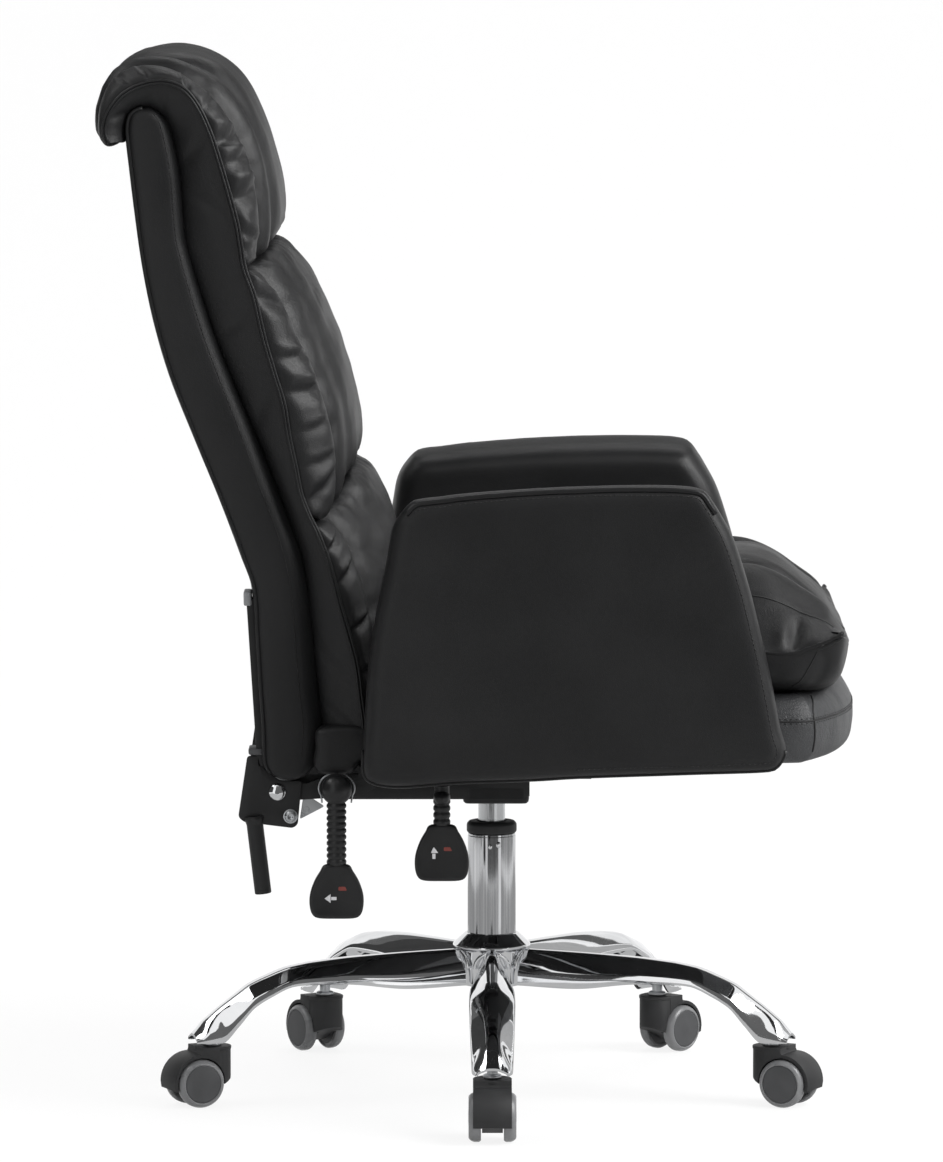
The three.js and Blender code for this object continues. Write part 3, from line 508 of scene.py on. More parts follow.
def inset(outline: Line, distance: float) -> list[Point]:
    """A closed outline moved inwards by a distance, in its own unit."""
    count = len(outline)
    pairs = [(outline[i - 1], outline[i]) for i in range(count)]
    side = 1 if sum(a[0] * b[1] - b[0] * a[1] for a, b in pairs) > 0 else -1
    result = []
    for i, (x, y) in enumerate(outline):
        before, after = outline[i - 1], outline[(i + 1) % count]
        along = Vector((after[0] - before[0], after[1] - before[1])).normalized()
        result.append((x - along.y * side * distance, y + along.x * side * distance))
    return result


def slab(
    outline: Line, stations: Line, place: Place, crown: float = 0.0,
    rings: Sequence[float] = (0.93, 0.8, 0.6, 0.35, 0.12),
) -> Shape:
    """A thick plate or pad with rounded edges.

    Args:
        outline: its closed outline.
        stations: (offset across the plate, inset of the outline) pairs, in order.
        place: the point for an outline point and an offset.
        crown: how far each face swells beyond its rim, in the outline's unit.
        rings: shares of the rim's size that the faces' inner rings have.

    Returns:
        The closed shape.
    """
    count = len(outline)
    insets = {gap: inset(outline, gap) if gap else list(outline) for _, gap in stations}
    middle = Vector((sum(x for x, _ in outline), sum(y for _, y in outline))) / count
    (low, first), (high, last) = stations[0], stations[-1]
    swells = [(draw, crown * (1 - draw * draw)) for draw in rings]
    profile = [(low - swell, first, draw) for draw, swell in reversed(swells)]
    profile += [(offset, gap, 1.0) for offset, gap in stations]
    profile += [(high + swell, last, draw) for draw, swell in swells]

    def surface(u: float, v: float) -> Vector:
        offset, gap, draw = profile[round(v * (len(profile) - 1))]
        x, y = insets[gap][round(u * count) % count]
        x, y = middle.x + (x - middle.x) * draw, middle.y + (y - middle.y) * draw
        return place(x, y, offset)

    return wrapped_sheet(count, len(profile) - 1, surface)


def refined(node: str, width: float) -> Shape:
    """A copy of a frame node's shape, its sharp edges eased by a width in metres."""
    bm = bmesh.new()
    bm.from_mesh(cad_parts[node].data)
    bmesh.ops.remove_doubles(bm, verts=bm.verts, dist=MERGE)
    flat, bend = math.radians(0.6), math.radians(32)
    bmesh.ops.dissolve_limit(bm, angle_limit=flat, verts=bm.verts, edges=bm.edges, delimit=set())
    sharp = [e for e in bm.edges if len(e.link_faces) == 2 and e.calc_face_angle(0) > bend]
    bmesh.ops.bevel(
        bm, geom=sharp, offset=width, segments=2, profile=0.5, affect="EDGES", material=-1,
        clamp_overlap=True,
    )
    bmesh.ops.triangulate(bm, faces=[f for f in bm.faces if len(f.verts) > 4])
    face_outwards(bm)
    return bm


# Finishes.


class Nodes:
    """Writes nodes and links into a node tree."""

    def __init__(self, tree: bpy.types.NodeTree) -> None:
        """Starts an empty tree."""
        self.tree = tree
        tree.nodes.clear()

    def add(self, kind: str, **values: object) -> bpy.types.Node:
        """Adds a node.

        Args:
            kind: its type name.
            values: its properties, or its inputs' values by name with _ for spaces.

        Returns:
            The node.
        """
        node = self.tree.nodes.new(kind)
        for key, value in values.items():
            if hasattr(node, key):
                setattr(node, key, value)
            else:
                node.inputs[key.replace("_", " ")].default_value = value
        return node

    def join(self, source: Socket, target: Socket) -> None:
        """Links an output to an input."""
        self.tree.links.new(source, target)

    def show(self, source: Socket) -> None:
        """Links a shader to the material's output."""
        output = next(n for n in self.tree.nodes if n.type == "OUTPUT_MATERIAL")
        self.join(source, output.inputs["Surface"])

    def noise(self, place: Socket, **values: float) -> bpy.types.Node:
        """Adds a noise texture that is read at a place."""
        node = self.add("ShaderNodeTexNoise", **values)
        self.join(place, node.inputs["Vector"])
        return node

    def ramp(self, source: Socket, low: float, high: float, a: float = 0, b: float = 1) -> Socket:
        """Maps a value from low..high to a..b, clamped, and returns the output."""
        node = self.add("ShaderNodeMapRange", From_Min=low, From_Max=high, To_Min=a, To_Max=b)
        self.join(source, node.inputs["Value"])
        return node.outputs["Result"]

    def blend(self, share: Socket, a: Sequence[float], b: Sequence[float]) -> Socket:
        """Mixes two colours by a share and returns the output."""
        node = self.add("ShaderNodeMix", data_type="RGBA")
        self.join(share, node.inputs["Factor"])
        sockets = [s for s in node.inputs if s.type == "RGBA"]
        sockets[0].default_value = (*a, 1.0)
        sockets[1].default_value = (*b, 1.0)
        return next(s for s in node.outputs if s.type == "RGBA")

    def blend_shaders(self, share: Socket, a: Socket, b: Socket) -> Socket:
        """Mixes two shaders by a share and returns the output."""
        node = self.add("ShaderNodeMixShader")
        for source, socket in zip((share, a, b), node.inputs):
            self.join(source, socket)
        return node.outputs[0]

    def maths(self, operation: str, a: Socket | float, b: Socket | float) -> Socket:
        """One step of arithmetic on two values."""
        node = self.add("ShaderNodeMath", operation=operation)
        for value, socket in zip((a, b), node.inputs):
            if isinstance(value, (int, float)):
                socket.default_value = value
            else:
                self.join(value, socket)
        return node.outputs[0]


def new_group(
    name: str, scale: float, creases: float | None, outputs: Sequence[str]
) -> tuple[bpy.types.Node, bpy.types.Node, Nodes]:
    """Starts a node group that is read at a vector.

    Args:
        name: the group's name.
        scale: its Scale input's default.
        creases: its Creases input's default, or None for no such input.
        outputs: the names of its outputs, all of them values.

    Returns:
        The group's input node, its output node and a writer for it.
    """
    tree = bpy.data.node_groups.new(name, "ShaderNodeTree")
    nodes = Nodes(tree)
    tree.interface.new_socket("Vector", in_out="INPUT", socket_type="NodeSocketVector")
    for key, value in (("Scale", scale), ("Creases", creases)):
        if value is not None:
            socket = tree.interface.new_socket(key, in_out="INPUT", socket_type="NodeSocketFloat")
            socket.default_value = value
    for key in outputs:
        tree.interface.new_socket(key, in_out="OUTPUT", socket_type="NodeSocketFloat")
    return nodes.add("NodeGroupInput"), nodes.add("NodeGroupOutput"), nodes


def hide_group() -> bpy.types.NodeTree:
    """Grain, creases and tone of leather.

    Returns:
        A group that puts out Height, Tone and Gloss for a place on the piece.
    """
    start, end, nodes = new_group("leather_grain", 700.0, 0.3, ("Height", "Tone", "Gloss"))
    place, scale = start.outputs["Vector"], start.outputs["Scale"]
    pebble = nodes.add("ShaderNodeTexVoronoi", feature="DISTANCE_TO_EDGE")
    nodes.join(place, pebble.inputs["Vector"])
    nodes.join(scale, pebble.inputs["Scale"])
    fine = nodes.noise(place, Detail=3.0, Roughness=0.6)
    nodes.join(nodes.maths("MULTIPLY", scale, 2.3), fine.inputs["Scale"])
    warp = nodes.noise(place, Scale=38.0, Detail=4.0, Roughness=0.55, Distortion=1.2)
    broad = nodes.noise(place, Scale=9.0, Detail=2.0).outputs[0]
    domes = nodes.ramp(pebble.outputs["Distance"], 0.0, 0.32)
    folds = nodes.maths("ABSOLUTE", nodes.maths("SUBTRACT", warp.outputs[0], 0.5), 0.0)
    lines = nodes.ramp(folds, 0.0, 0.07, -1.0, 0.0)
    creased = nodes.maths("MULTIPLY", lines, start.outputs["Creases"])
    height = nodes.maths("ADD", domes, nodes.maths("MULTIPLY", fine.outputs[0], 0.55))
    nodes.join(nodes.maths("ADD", height, creased), end.inputs["Height"])
    tone = nodes.maths("ADD", nodes.maths("MULTIPLY", domes, 0.35), broad)
    nodes.join(nodes.ramp(tone, 0.35, 1.05), end.inputs["Tone"])
    gloss = nodes.maths("ADD", broad, nodes.maths("MULTIPLY", fine.outputs[0], 0.4))
    nodes.join(nodes.ramp(gloss, 0.45, 0.95), end.inputs["Gloss"])
    return start.id_data


def smear_and_reflection_group() -> bpy.types.NodeTree:
    """Handling marks and fine speckle of hard finishes. Stretched along the outer tube, the marks
    become streaks of painted reflection on its chrome.

    Returns:
        A group that puts out the marks and Speckle for a place on the piece. On the streaked
        chrome, the marks are painted reflection.
    """
    start, end, nodes = new_group("hard_finish_wear_and_reflection", 900.0, None, ("SmearAndReflection", "Speckle"))
    place = start.outputs["Vector"]
    smear_and_reflection = nodes.noise(place, Scale=22.0, Detail=4.0, Roughness=0.6, Distortion=0.8)
    speckle = nodes.noise(place, Detail=2.0, Roughness=0.7)
    nodes.join(start.outputs["Scale"], speckle.inputs["Scale"])
    nodes.join(nodes.ramp(smear_and_reflection.outputs[0], 0.32, 0.72), end.inputs["SmearAndReflection"])
    nodes.join(nodes.ramp(speckle.outputs[0], 0.3, 0.7), end.inputs["Speckle"])
    return start.id_data


@cache
def shared_group(build: Callable[[], bpy.types.NodeTree]) -> bpy.types.NodeTree:
    """A node group that is built the first time it is asked for."""
    return build()


def started(name: str) -> tuple[bpy.types.Material, Nodes, bpy.types.Node, Socket]:
    """A new material with a Principled shader and its object coordinates.

    Args:
        name: the material's name.

    Returns:
        The material, a writer for its tree, the shader and the object coordinates.
    """
    material = bpy.data.materials.new(name)
    material.use_nodes = True
    nodes = Nodes(material.node_tree)
    shader = nodes.add("ShaderNodeBsdfPrincipled")
    nodes.add("ShaderNodeOutputMaterial")
    nodes.show(shader.outputs[0])
    return material, nodes, shader, nodes.add("ShaderNodeTexCoord").outputs["Object"]


@dataclass(frozen=True)
class Coat:
    """What every finish has: a slot, two tones, a roughness and a fine relief."""

    name: str
    slot: str
    dark: Triple
    light: Triple
    rough: Point
    metal: float = 0.0
    strength: float = 0.2
    gloss: float = 0.5
    depth: float = 0.00005

    def coat(self, nodes: Nodes, shader: bpy.types.Node, sources: Sequence[Socket]) -> None:
        """Joins the values of a texture group to the shader. On the streaked chrome, its tone is
        painted reflection.

        Args:
            nodes: the writer of the material's tree.
            shader: the Principled shader.
            sources: the outputs for tone, roughness and height.
        """
        tone, rough, height = sources
        nodes.join(nodes.blend(tone, self.dark, self.light), shader.inputs["Base Color"])
        nodes.join(nodes.ramp(rough, 0.0, 1.0, *self.rough), shader.inputs["Roughness"])
        shader.inputs["Metallic"].default_value = self.metal
        shader.inputs["Specular IOR Level"].default_value = self.gloss
        if self.strength > 0:
            bump = nodes.add("ShaderNodeBump", Strength=self.strength, Distance=self.depth)
            nodes.join(height, bump.inputs["Height"])
            nodes.join(bump.outputs[0], shader.inputs["Normal"])


@dataclass(frozen=True)
class Leather(Coat):
    """Coated leather: a pebbled grain with soft creases and a low sheen."""

    slot: str = "leather"
    dark: Triple = (0.0062, 0.0063, 0.0067)
    light: Triple = (0.01, 0.0101, 0.0106)
    rough: Point = (0.4, 0.5)
    strength: float = 0.35
    gloss: float = 0.33
    depth: float = 0.00016
    grain: float = 720.0
    creases: float = 0.35

    def material(self) -> bpy.types.Material:
        """Builds the material."""
        material, nodes, shader, place = started(self.name)
        grain = nodes.add("ShaderNodeGroup", node_tree=shared_group(hide_group))
        nodes.join(place, grain.inputs["Vector"])
        grain.inputs["Scale"].default_value = self.grain
        grain.inputs["Creases"].default_value = self.creases
        self.coat(nodes, shader, [grain.outputs[key] for key in ("Tone", "Gloss", "Height")])
        return material


@dataclass(frozen=True)
class HardFinish(Coat):
    """Metal, paint or moulded plastic with faint smears and a fine speckle. Stretched, as on the
    outer tube, the smears are streaks of painted reflection.
    """

    speckle: float = 900.0
    stretch: Triple = (1.0, 1.0, 1.0)

    def material(self) -> bpy.types.Material:
        """Builds the material."""
        material, nodes, shader, place = started(self.name)
        turn = nodes.add("ShaderNodeMapping")
        turn.inputs["Scale"].default_value = self.stretch
        nodes.join(place, turn.inputs["Vector"])
        marks_and_reflection = nodes.add("ShaderNodeGroup", node_tree=shared_group(smear_and_reflection_group))
        nodes.join(turn.outputs[0], marks_and_reflection.inputs["Vector"])
        marks_and_reflection.inputs["Scale"].default_value = self.speckle
        self.coat(nodes, shader, [marks_and_reflection.outputs[key] for key in ("SmearAndReflection", "SmearAndReflection", "Speckle")])
        return material


class Finish(Enum):
    """The finishes that the chair has."""

    LEATHER = Leather("leather_smooth")
    PAD_LEATHER = Leather(
        "leather_pebbled", dark=(0.026, 0.0268, 0.0282), light=(0.046, 0.047, 0.049), grain=430.0,
        creases=0.9, depth=0.0004, strength=0.5,
    )
    PILLOW_LEATHER = Leather("leather_pillow", creases=0.5, depth=0.00022, strength=0.4)
    PIPING = Leather("leather_piping", rough=(0.34, 0.42), creases=0.1)
    THREAD = HardFinish(
        "sewing_thread", "leather", (0.003, 0.003, 0.0033), (0.007, 0.007, 0.0075), (0.5, 0.6),
        speckle=2400,
    )
    CHROME = HardFinish(
        "chrome", "chrome", (0.8, 0.81, 0.825), (0.87, 0.875, 0.885), (0.03, 0.075), 1.0, 0.0
    )
    # Chrome of the outer tube: its colour is streaked round the tube between dark and light grey.
    # These are painted reflections of dark and bright studio bands, together with the fine streaks
    # of a drawn tube.
    STREAKED_CHROME_PAINTED_REFLECTION = HardFinish(
        "chrome_painted_reflection_streaks", "chrome", (0.36, 0.365, 0.375), (0.68, 0.685, 0.695), (0.07, 0.15), 1.0,
        0.0, stretch=(14.0, 14.0, 0.04),
    )
    SATIN_STEEL = HardFinish(
        "satin_steel", "chrome", (0.55, 0.56, 0.57), (0.68, 0.69, 0.7), (0.2, 0.32), 1.0, 0.06,
        stretch=(1.0, 1.0, 0.05),
    )
    ZINC = HardFinish(
        "zinc_plate", "zinc", (0.5, 0.52, 0.54), (0.68, 0.69, 0.7), (0.22, 0.38), 1.0, 0.1
    )
    BLACK_STEEL = HardFinish(
        "powder_coat", "black_steel", (0.0085, 0.0086, 0.009), (0.013, 0.0132, 0.0136),
        (0.38, 0.5), gloss=0.35,
    )
    HOOD_PLASTIC = HardFinish(
        "hood_plastic", "black_plastic", (0.015, 0.0153, 0.016), (0.024, 0.0244, 0.0252),
        (0.5, 0.62), gloss=0.4,
    )
    GRIP_PLASTIC = HardFinish(
        "grip_plastic", "black_plastic", (0.0065, 0.0066, 0.007), (0.011, 0.0112, 0.0116),
        (0.3, 0.42), gloss=0.45,
    )
    CLIP_PLASTIC = HardFinish(
        "clip_plastic", "black_plastic", (0.16, 0.165, 0.17), (0.24, 0.245, 0.25), (0.35, 0.5)
    )
    TREAD = HardFinish(
        "tread_rubber", "wheel", (0.13, 0.132, 0.135), (0.2, 0.202, 0.206), (0.24, 0.4),
        speckle=1400,
    )
    DISC_PLASTIC = HardFinish(
        "disc_plastic", "black_plastic", (0.045, 0.046, 0.048), (0.062, 0.063, 0.066), (0.42, 0.55)
    )
    WHITE_PRINT = HardFinish(
        "white_print", "black_plastic", (0.4, 0.4, 0.41), (0.55, 0.55, 0.56), (0.5, 0.6), 0.0, 0.0
    )
    RED_PRINT = HardFinish(
        "red_print", "black_plastic", (0.1, 0.014, 0.01), (0.17, 0.024, 0.016), (0.5, 0.6), 0.0,
        0.0,
    )
    LINING = HardFinish(
        "black_lining", "plywood", (0.008, 0.008, 0.0085), (0.014, 0.014, 0.0145), (0.75, 0.9),
        gloss=0.15,
    )


@cache
def finish_of(finish: Finish) -> bpy.types.Material:
    """The material of a finish, built the first time it is asked for."""
    return finish.value.material()


def linked(bm: Shape, name: str, material: bpy.types.Material, smooth: bool) -> Piece:
    """Turns a bmesh into an object of the scene.

    Args:
        bm: the shape; it is freed here.
        name: the object's name.
        material: its material.
        smooth: whether its faces are shaded smooth.

    Returns:
        The new object.
    """
    mesh = bpy.data.meshes.new(name)
    bm.to_mesh(mesh)
    bm.free()
    for polygon in mesh.polygons:
        polygon.use_smooth = smooth
    mesh.materials.append(material)
    obj = bpy.data.objects.new(name, mesh)
    bpy.context.scene.collection.objects.link(obj)
    return obj


def piece_from(
    bm: Shape, name: str, finish: Finish, body: str, node: str = "", crease: float = 0.0,
    smooth: bool = True, slot: str = "",
) -> Piece:
    """Turns a bmesh into a piece that rides on a body.

    Args:
        bm: the shape, in the frame's metres; it is freed here.
        name: the piece's name.
        finish: its finish.
        body: the frame body that it moves with.
        node: the frame node that it stands for, if any.
        crease: edges that turn by more than this many degrees stay sharp; 0 for none.
        smooth: whether its faces are shaded smooth.
        slot: the record's material slot, where it isn't the finish's own; not used.

    Returns:
        The new object.
    """
    obj = linked(bm, name, finish_of(finish), smooth)
    if crease > 0:
        obj.data.set_sharp_from_angle(angle=math.radians(crease))
    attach(obj, body)
    slot or finish.value.slot
    if node:
        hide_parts(node)
    return obj


def dress_node(node: str, finish: Finish) -> None:
    """Gives a frame node that stays in view its finish."""
    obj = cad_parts[node]
    obj.data.materials.clear()
    obj.data.materials.append(finish_of(finish))


# The studio.


def aimed(name: str, data: bpy.types.ID, spot: Vector, aim: Vector) -> Piece:
    """Links a camera or lamp that looks from one point at another."""
    obj = bpy.data.objects.new(name, data)
    obj.location = spot
    obj.rotation_euler = (aim - spot).to_track_quat("-Z", "Y").to_euler()
    bpy.context.scene.collection.objects.link(obj)
    return obj


@dataclass(frozen=True)
class SoftBox:
    """A square soft lamp that looks at the chair."""

    name: str
    spot: Triple
    size: float
    power: float
    aim: Triple = (0.0, 0.0, 0.55)


@dataclass(frozen=True)
class Card:
    """A studio card that only reflections see."""

    name: str
    spot: Triple
    width: float
    height: float
    tone: float
    aim: Triple = (0.0, 0.0, 0.4)


@dataclass
class Studio:
    """Camera, lamps, floor and backdrop."""

    distance: float = 8.5
    eye_height: float = 1.41
    aim_behind: float = 0.021
    aim_height: float = 0.5326
    focal_pixels: float = 8245.0
    picture_height: int = 1162
    sensor: float = 36.0
    # Where the floor begins, where it bends up, the bend's radius, its top and half its width.
    floor_from: float = -6.0
    bend_from: float = 3.2
    bend: float = 1.6
    sweep_top: float = 6.0
    sweep_half: float = 7.0
    lamps: Sequence[SoftBox] = (
        SoftBox("front_top", (-1.2, -2.9, 2.7), 2.2, 172.0),
        SoftBox("camera_side", (-3.3, -1.3, 2.4), 2.2, 22.0),
        SoftBox("far_side", (3.0, -0.6, 3.2), 2.2, 50.0),
        SoftBox("rear_top", (-0.4, 2.8, 3.2), 2.0, 40.0),
    )
    cards: Sequence[Card] = (
        Card("ceiling_card", (0.0, 0.0, 4.6), 4.2, 5.2, 0.02),
        Card("front_card", (-0.3, -2.1, 0.85), 3.3, 1.7, 0.42, (-0.3, 0.0, 0.85)),
        Card("camera_card", (-1.75, -0.85, 1.2), 2.9, 2.4, 0.13, (0.0, -0.85, 1.2)),
        Card("far_card", (2.4, 0.0, 2.25), 6.0, 2.1, 0.12, (0.0, 0.0, 2.25)),
        Card("rear_card", (-0.4, 2.2, 1.3), 4.6, 2.4, 0.05, (-0.4, 0.0, 1.3)),
        Card("floor_card", (0.0, 0.0, 0.003), 3.0, 3.0, 0.5, (0.0, 0.0, 1.0)),
        Card("strip_card", (-0.575, -0.48, 0.16), 0.2, 0.3, 1.1, (0.019, -0.0145, 0.16)),
        Card("low_card", (0.8, 0.0, 0.42), 1.7, 0.46, 0.9, (0.0, 0.0, 0.42)),
    )

    def camera(self) -> None:
        """Sets the camera to the photograph's viewing angle."""
        data = bpy.data.cameras.new("view")
        data.sensor_fit = "VERTICAL"
        data.sensor_height = self.sensor
        data.lens = self.focal_pixels / self.picture_height * self.sensor
        data.clip_end = 100.0
        across = VIEW.foot.y + self.aim_behind
        eye = Vector((VIEW.foot.x - self.distance, across, self.eye_height))
        scene = bpy.context.scene
        scene.camera = aimed("view", data, eye, Vector((VIEW.foot.x, across, self.aim_height)))
        scene.view_settings.view_transform = "Standard"

    def light(self) -> None:
        """Hangs the lamps."""
        for box in self.lamps:
            data = bpy.data.lights.new(box.name, "AREA")
            data.shape = "SQUARE"
            data.size = box.size
            data.energy = box.power
            aimed(box.name, data, Vector(box.spot), Vector(box.aim))

    def sky(self) -> None:
        """A white surround to look at and a grey one to be lit by."""
        world = bpy.data.worlds.new("surround")
        bpy.context.scene.world = world
        world.use_nodes = True
        nodes = Nodes(world.node_tree)
        lit, white = (
            nodes.add("ShaderNodeBackground", Strength=1.0, Color=colour).outputs[0]
            for colour in ((0.5, 0.5, 0.505, 1.0), (1.0, 1.0, 1.0, 1.0))
        )
        output = nodes.add("ShaderNodeOutputWorld")
        mixed = nodes.blend_shaders(self.seen(nodes), lit, white)
        nodes.join(mixed, output.inputs["Surface"])

    def seen(self, nodes: Nodes) -> Socket:
        """1 for rays that the eye or a reflection follows, and 0 for light."""
        rays = nodes.add("ShaderNodeLightPath").outputs
        direct = nodes.maths("MAXIMUM", rays["Is Camera Ray"], rays["Is Glossy Ray"])
        return nodes.maths("MAXIMUM", direct, rays["Is Transmission Ray"])

    def stage_material(self, name: str, glow: float) -> bpy.types.Material:
        """Pale paint that mostly glows white to the eye, and keeps shadows.

        Args:
            name: the material's name.
            glow: the share of its look that no shadow can darken.

        Returns:
            The material.
        """
        material, nodes, shader, place = started(name)
        grain = nodes.noise(place, Scale=60.0, Detail=3.0)
        tone = nodes.blend(grain.outputs[0], (0.9,) * 3, (0.94,) * 3)
        nodes.join(tone, shader.inputs["Base Color"])
        shader.inputs["Roughness"].default_value = 0.9
        glowing = nodes.add("ShaderNodeEmission", Strength=1.0)
        share = nodes.maths("MULTIPLY", self.seen(nodes), glow)
        nodes.show(nodes.blend_shaders(share, shader.outputs[0], glowing.outputs[0]))
        return material

    def sweep(self) -> None:
        """A floor that curves up into a backdrop behind the chair."""
        start, bend = self.bend_from, self.bend
        steps = [(self.floor_from, 0.0), (start, 0.0)]
        for k in range(1, 13):
            turn = math.radians(90 * k / 12)
            steps.append((start + bend * math.sin(turn), bend - bend * math.cos(turn)))
        steps.append((start + bend, self.sweep_top))
        bm = bmesh.new()
        verts = [bm.verts.new((x, -self.sweep_half, z)) for x, z in steps]
        edges = [bm.edges.new(pair) for pair in zip(verts, verts[1:])]
        made = bmesh.ops.extrude_edge_only(bm, edges=edges)["geom"]
        far = [g for g in made if isinstance(g, bmesh.types.BMVert)]
        bmesh.ops.translate(bm, vec=(0.0, 2 * self.sweep_half, 0.0), verts=far)
        bmesh.ops.recalc_face_normals(bm, faces=bm.faces)
        linked(bm, "sweep", self.stage_material("stage_paper", 0.86), True)

    def hang(self, card: Card) -> None:
        """Hangs a card that only reflections see.

        Args:
            card: its place, size and tone.
        """
        tone, middle = card.tone, Vector(card.spot)
        bm = bmesh.new()
        turn = (Vector(card.aim) - middle).to_track_quat("-Z", "Y").to_matrix().to_4x4()
        size = Matrix.Diagonal((card.width, card.height, 1.0, 1.0))
        place = Matrix.Translation(middle) @ turn @ size
        bmesh.ops.create_grid(bm, x_segments=1, y_segments=1, size=0.5, matrix=place)
        material, nodes, _, coordinates = started(card.name)
        weave = nodes.noise(coordinates, Scale=8.0, Detail=2.0)
        cloth = nodes.add("ShaderNodeEmission", Strength=1.0)
        shade = nodes.blend(weave.outputs[0], (tone * 0.8,) * 3, (tone * 1.2,) * 3)
        nodes.join(shade, cloth.inputs["Color"])
        nodes.show(cloth.outputs[0])
        obj = linked(bm, card.name, material, False)
        for ray in ("camera", "diffuse", "shadow", "transmission"):
            setattr(obj, f"visible_{ray}", False)

    def build(self) -> None:
        """Sets up the whole studio."""
        self.camera()
        self.sky()
        self.light()
        self.sweep()
        for card in self.cards:
            self.hang(card)


# The base.


@dataclass
class StarBase:
    """Hub and five pressed legs."""

    legs: int = 5
    circle: float = 303.0
    overhang: float = 21.0
    hub_radius: float = 33.5
    tip_height: float = 66.0
    rise: float = 84.0
    belly: float = 47.0
    root: float = 34.0
    wall: float = 2.5
    # Share of the length, of the height at the top edge, at the bottom edge, of the width.
    stations: Sequence[tuple[float, float, float, float]] = (
        (0, 1, 0.56, 0.72), (0.23, 0.985, 0.56, 0.87), (0.43, 0.96, 0.65, 0.98),
        (0.57, 0.92, 0.67, 1), (0.655, 0.87, 0.655, 1), (0.72, 0.79, 0.56, 0.99),
        (0.795, 0.68, 0.41, 0.96), (0.857, 0.53, 0.17, 0.92), (0.905, 0.41, 0, 0.89),
        (0.96, 0.26, 0, 0.84), (1, 0.1, 0, 0.66),
    )
    # Half section: share of the half width, share of the height, from the crown down.
    section: Line = (
        (0, 1), (0.2, 0.985), (0.36, 0.93), (0.62, 0.72), (0.84, 0.5), (0.955, 0.36), (1, 0.18),
        (1, 0),
    )

    def turn(self, k: int) -> float:
        """The direction of leg k, from the frame's X axis."""
        return math.pi - math.tau * (k - 1) / self.legs

    def station(self, v: float) -> tuple[float, float, float, float]:
        """The leg's length, crown, edge height and half width at a share of it."""
        rows = [Vector(row) for row in self.stations]
        k = 0
        while k + 2 < len(rows) and rows[k + 1][0] < v:
            k += 1
        t = (v - rows[k][0]) / (rows[k + 1][0] - rows[k][0])
        row = curve_through(rows, (k + t) / (len(rows) - 1))
        length = self.circle + self.overhang - self.hub_radius - 0.3
        half = self.belly * max(row[3], self.root / self.belly) / 2
        return (
            self.hub_radius + 0.3 + v * length,
            self.tip_height + row[1] * self.rise,
            self.tip_height + max(0.0, row[2]) * self.rise,
            half,
        )

    def leg(self) -> Shape:
        """One leg along +X, an arched pressing that is open underneath."""
        half = [Vector(point) for point in self.section]

        def surface(u: float, v: float) -> Vector:
            x, crown, edge, width = self.station(v)
            outer = u <= 0.5
            turn = u * 4 - 1 if outer else 3 - u * 4
            wall = 0.0 if outer else self.wall
            share = curve_through(half, abs(turn))
            y = math.copysign(share.x, turn) * (width - wall)
            return Vector((x, y, edge + share.y * (crown - wall - edge))) * MM

        return wrapped_sheet(64, 90, surface)

    def knuckle(self) -> Shape:
        """The stepped swage where a leg enters the hub, along +X."""
        shapes = []
        for radius, reach in ((17.4, 35.6), (11.5, 41.5)):
            path = []
            for k in range(25):
                turn = math.pi * k / 24
                x = math.sqrt(max(0.0, reach**2 - (radius * math.cos(turn)) ** 2))
                drop = 0 if radius > 15 else 4.5
                up = 131.0 - drop + radius * 0.98 * math.sin(turn)
                path.append(Vector((x, radius * math.cos(turn), up)) * MM)
            shapes.append(swept(path, 2.3 * MM, sides=10))
        return joined(shapes)

    def hub(self) -> Shape:
        """The hub with its flange and cone."""
        corners = [
            (25.3, 111.5, 0), (31.5, 111.5, 0), (33.5, 113.5, 1.6), (33.5, 149, 2), (39, 150.8, 1),
            (40.7, 152, 1.2), (40.2, 154.2, 1.6), (27.8, 165.6, 1.2), (26.2, 166, 0.5),
            (25.3, 165.6, 0), (25.3, 111.5, 0),
        ]
        return lathed(corners, 72)

    def build(self) -> None:
        """Makes the hub and the legs."""
        foot = Matrix.Translation(VIEW.foot)
        hub = placed(self.hub(), foot)
        piece_from(hub, "hub_shell", Finish.CHROME, "base", "base_hub", crease=32)
        for k in range(1, self.legs + 1):
            place = foot @ Matrix.Rotation(self.turn(k), 4, "Z")
            leg, ring = placed(self.leg(), place), placed(self.knuckle(), place)
            name = f"leg_pressing_{k}"
            piece_from(leg, name, Finish.CHROME, "base", f"base_leg_{k}", crease=40)
            piece_from(ring, f"leg_knuckle_{k}", Finish.CHROME, "base")
        log.info("base: hub and %d legs", self.legs)


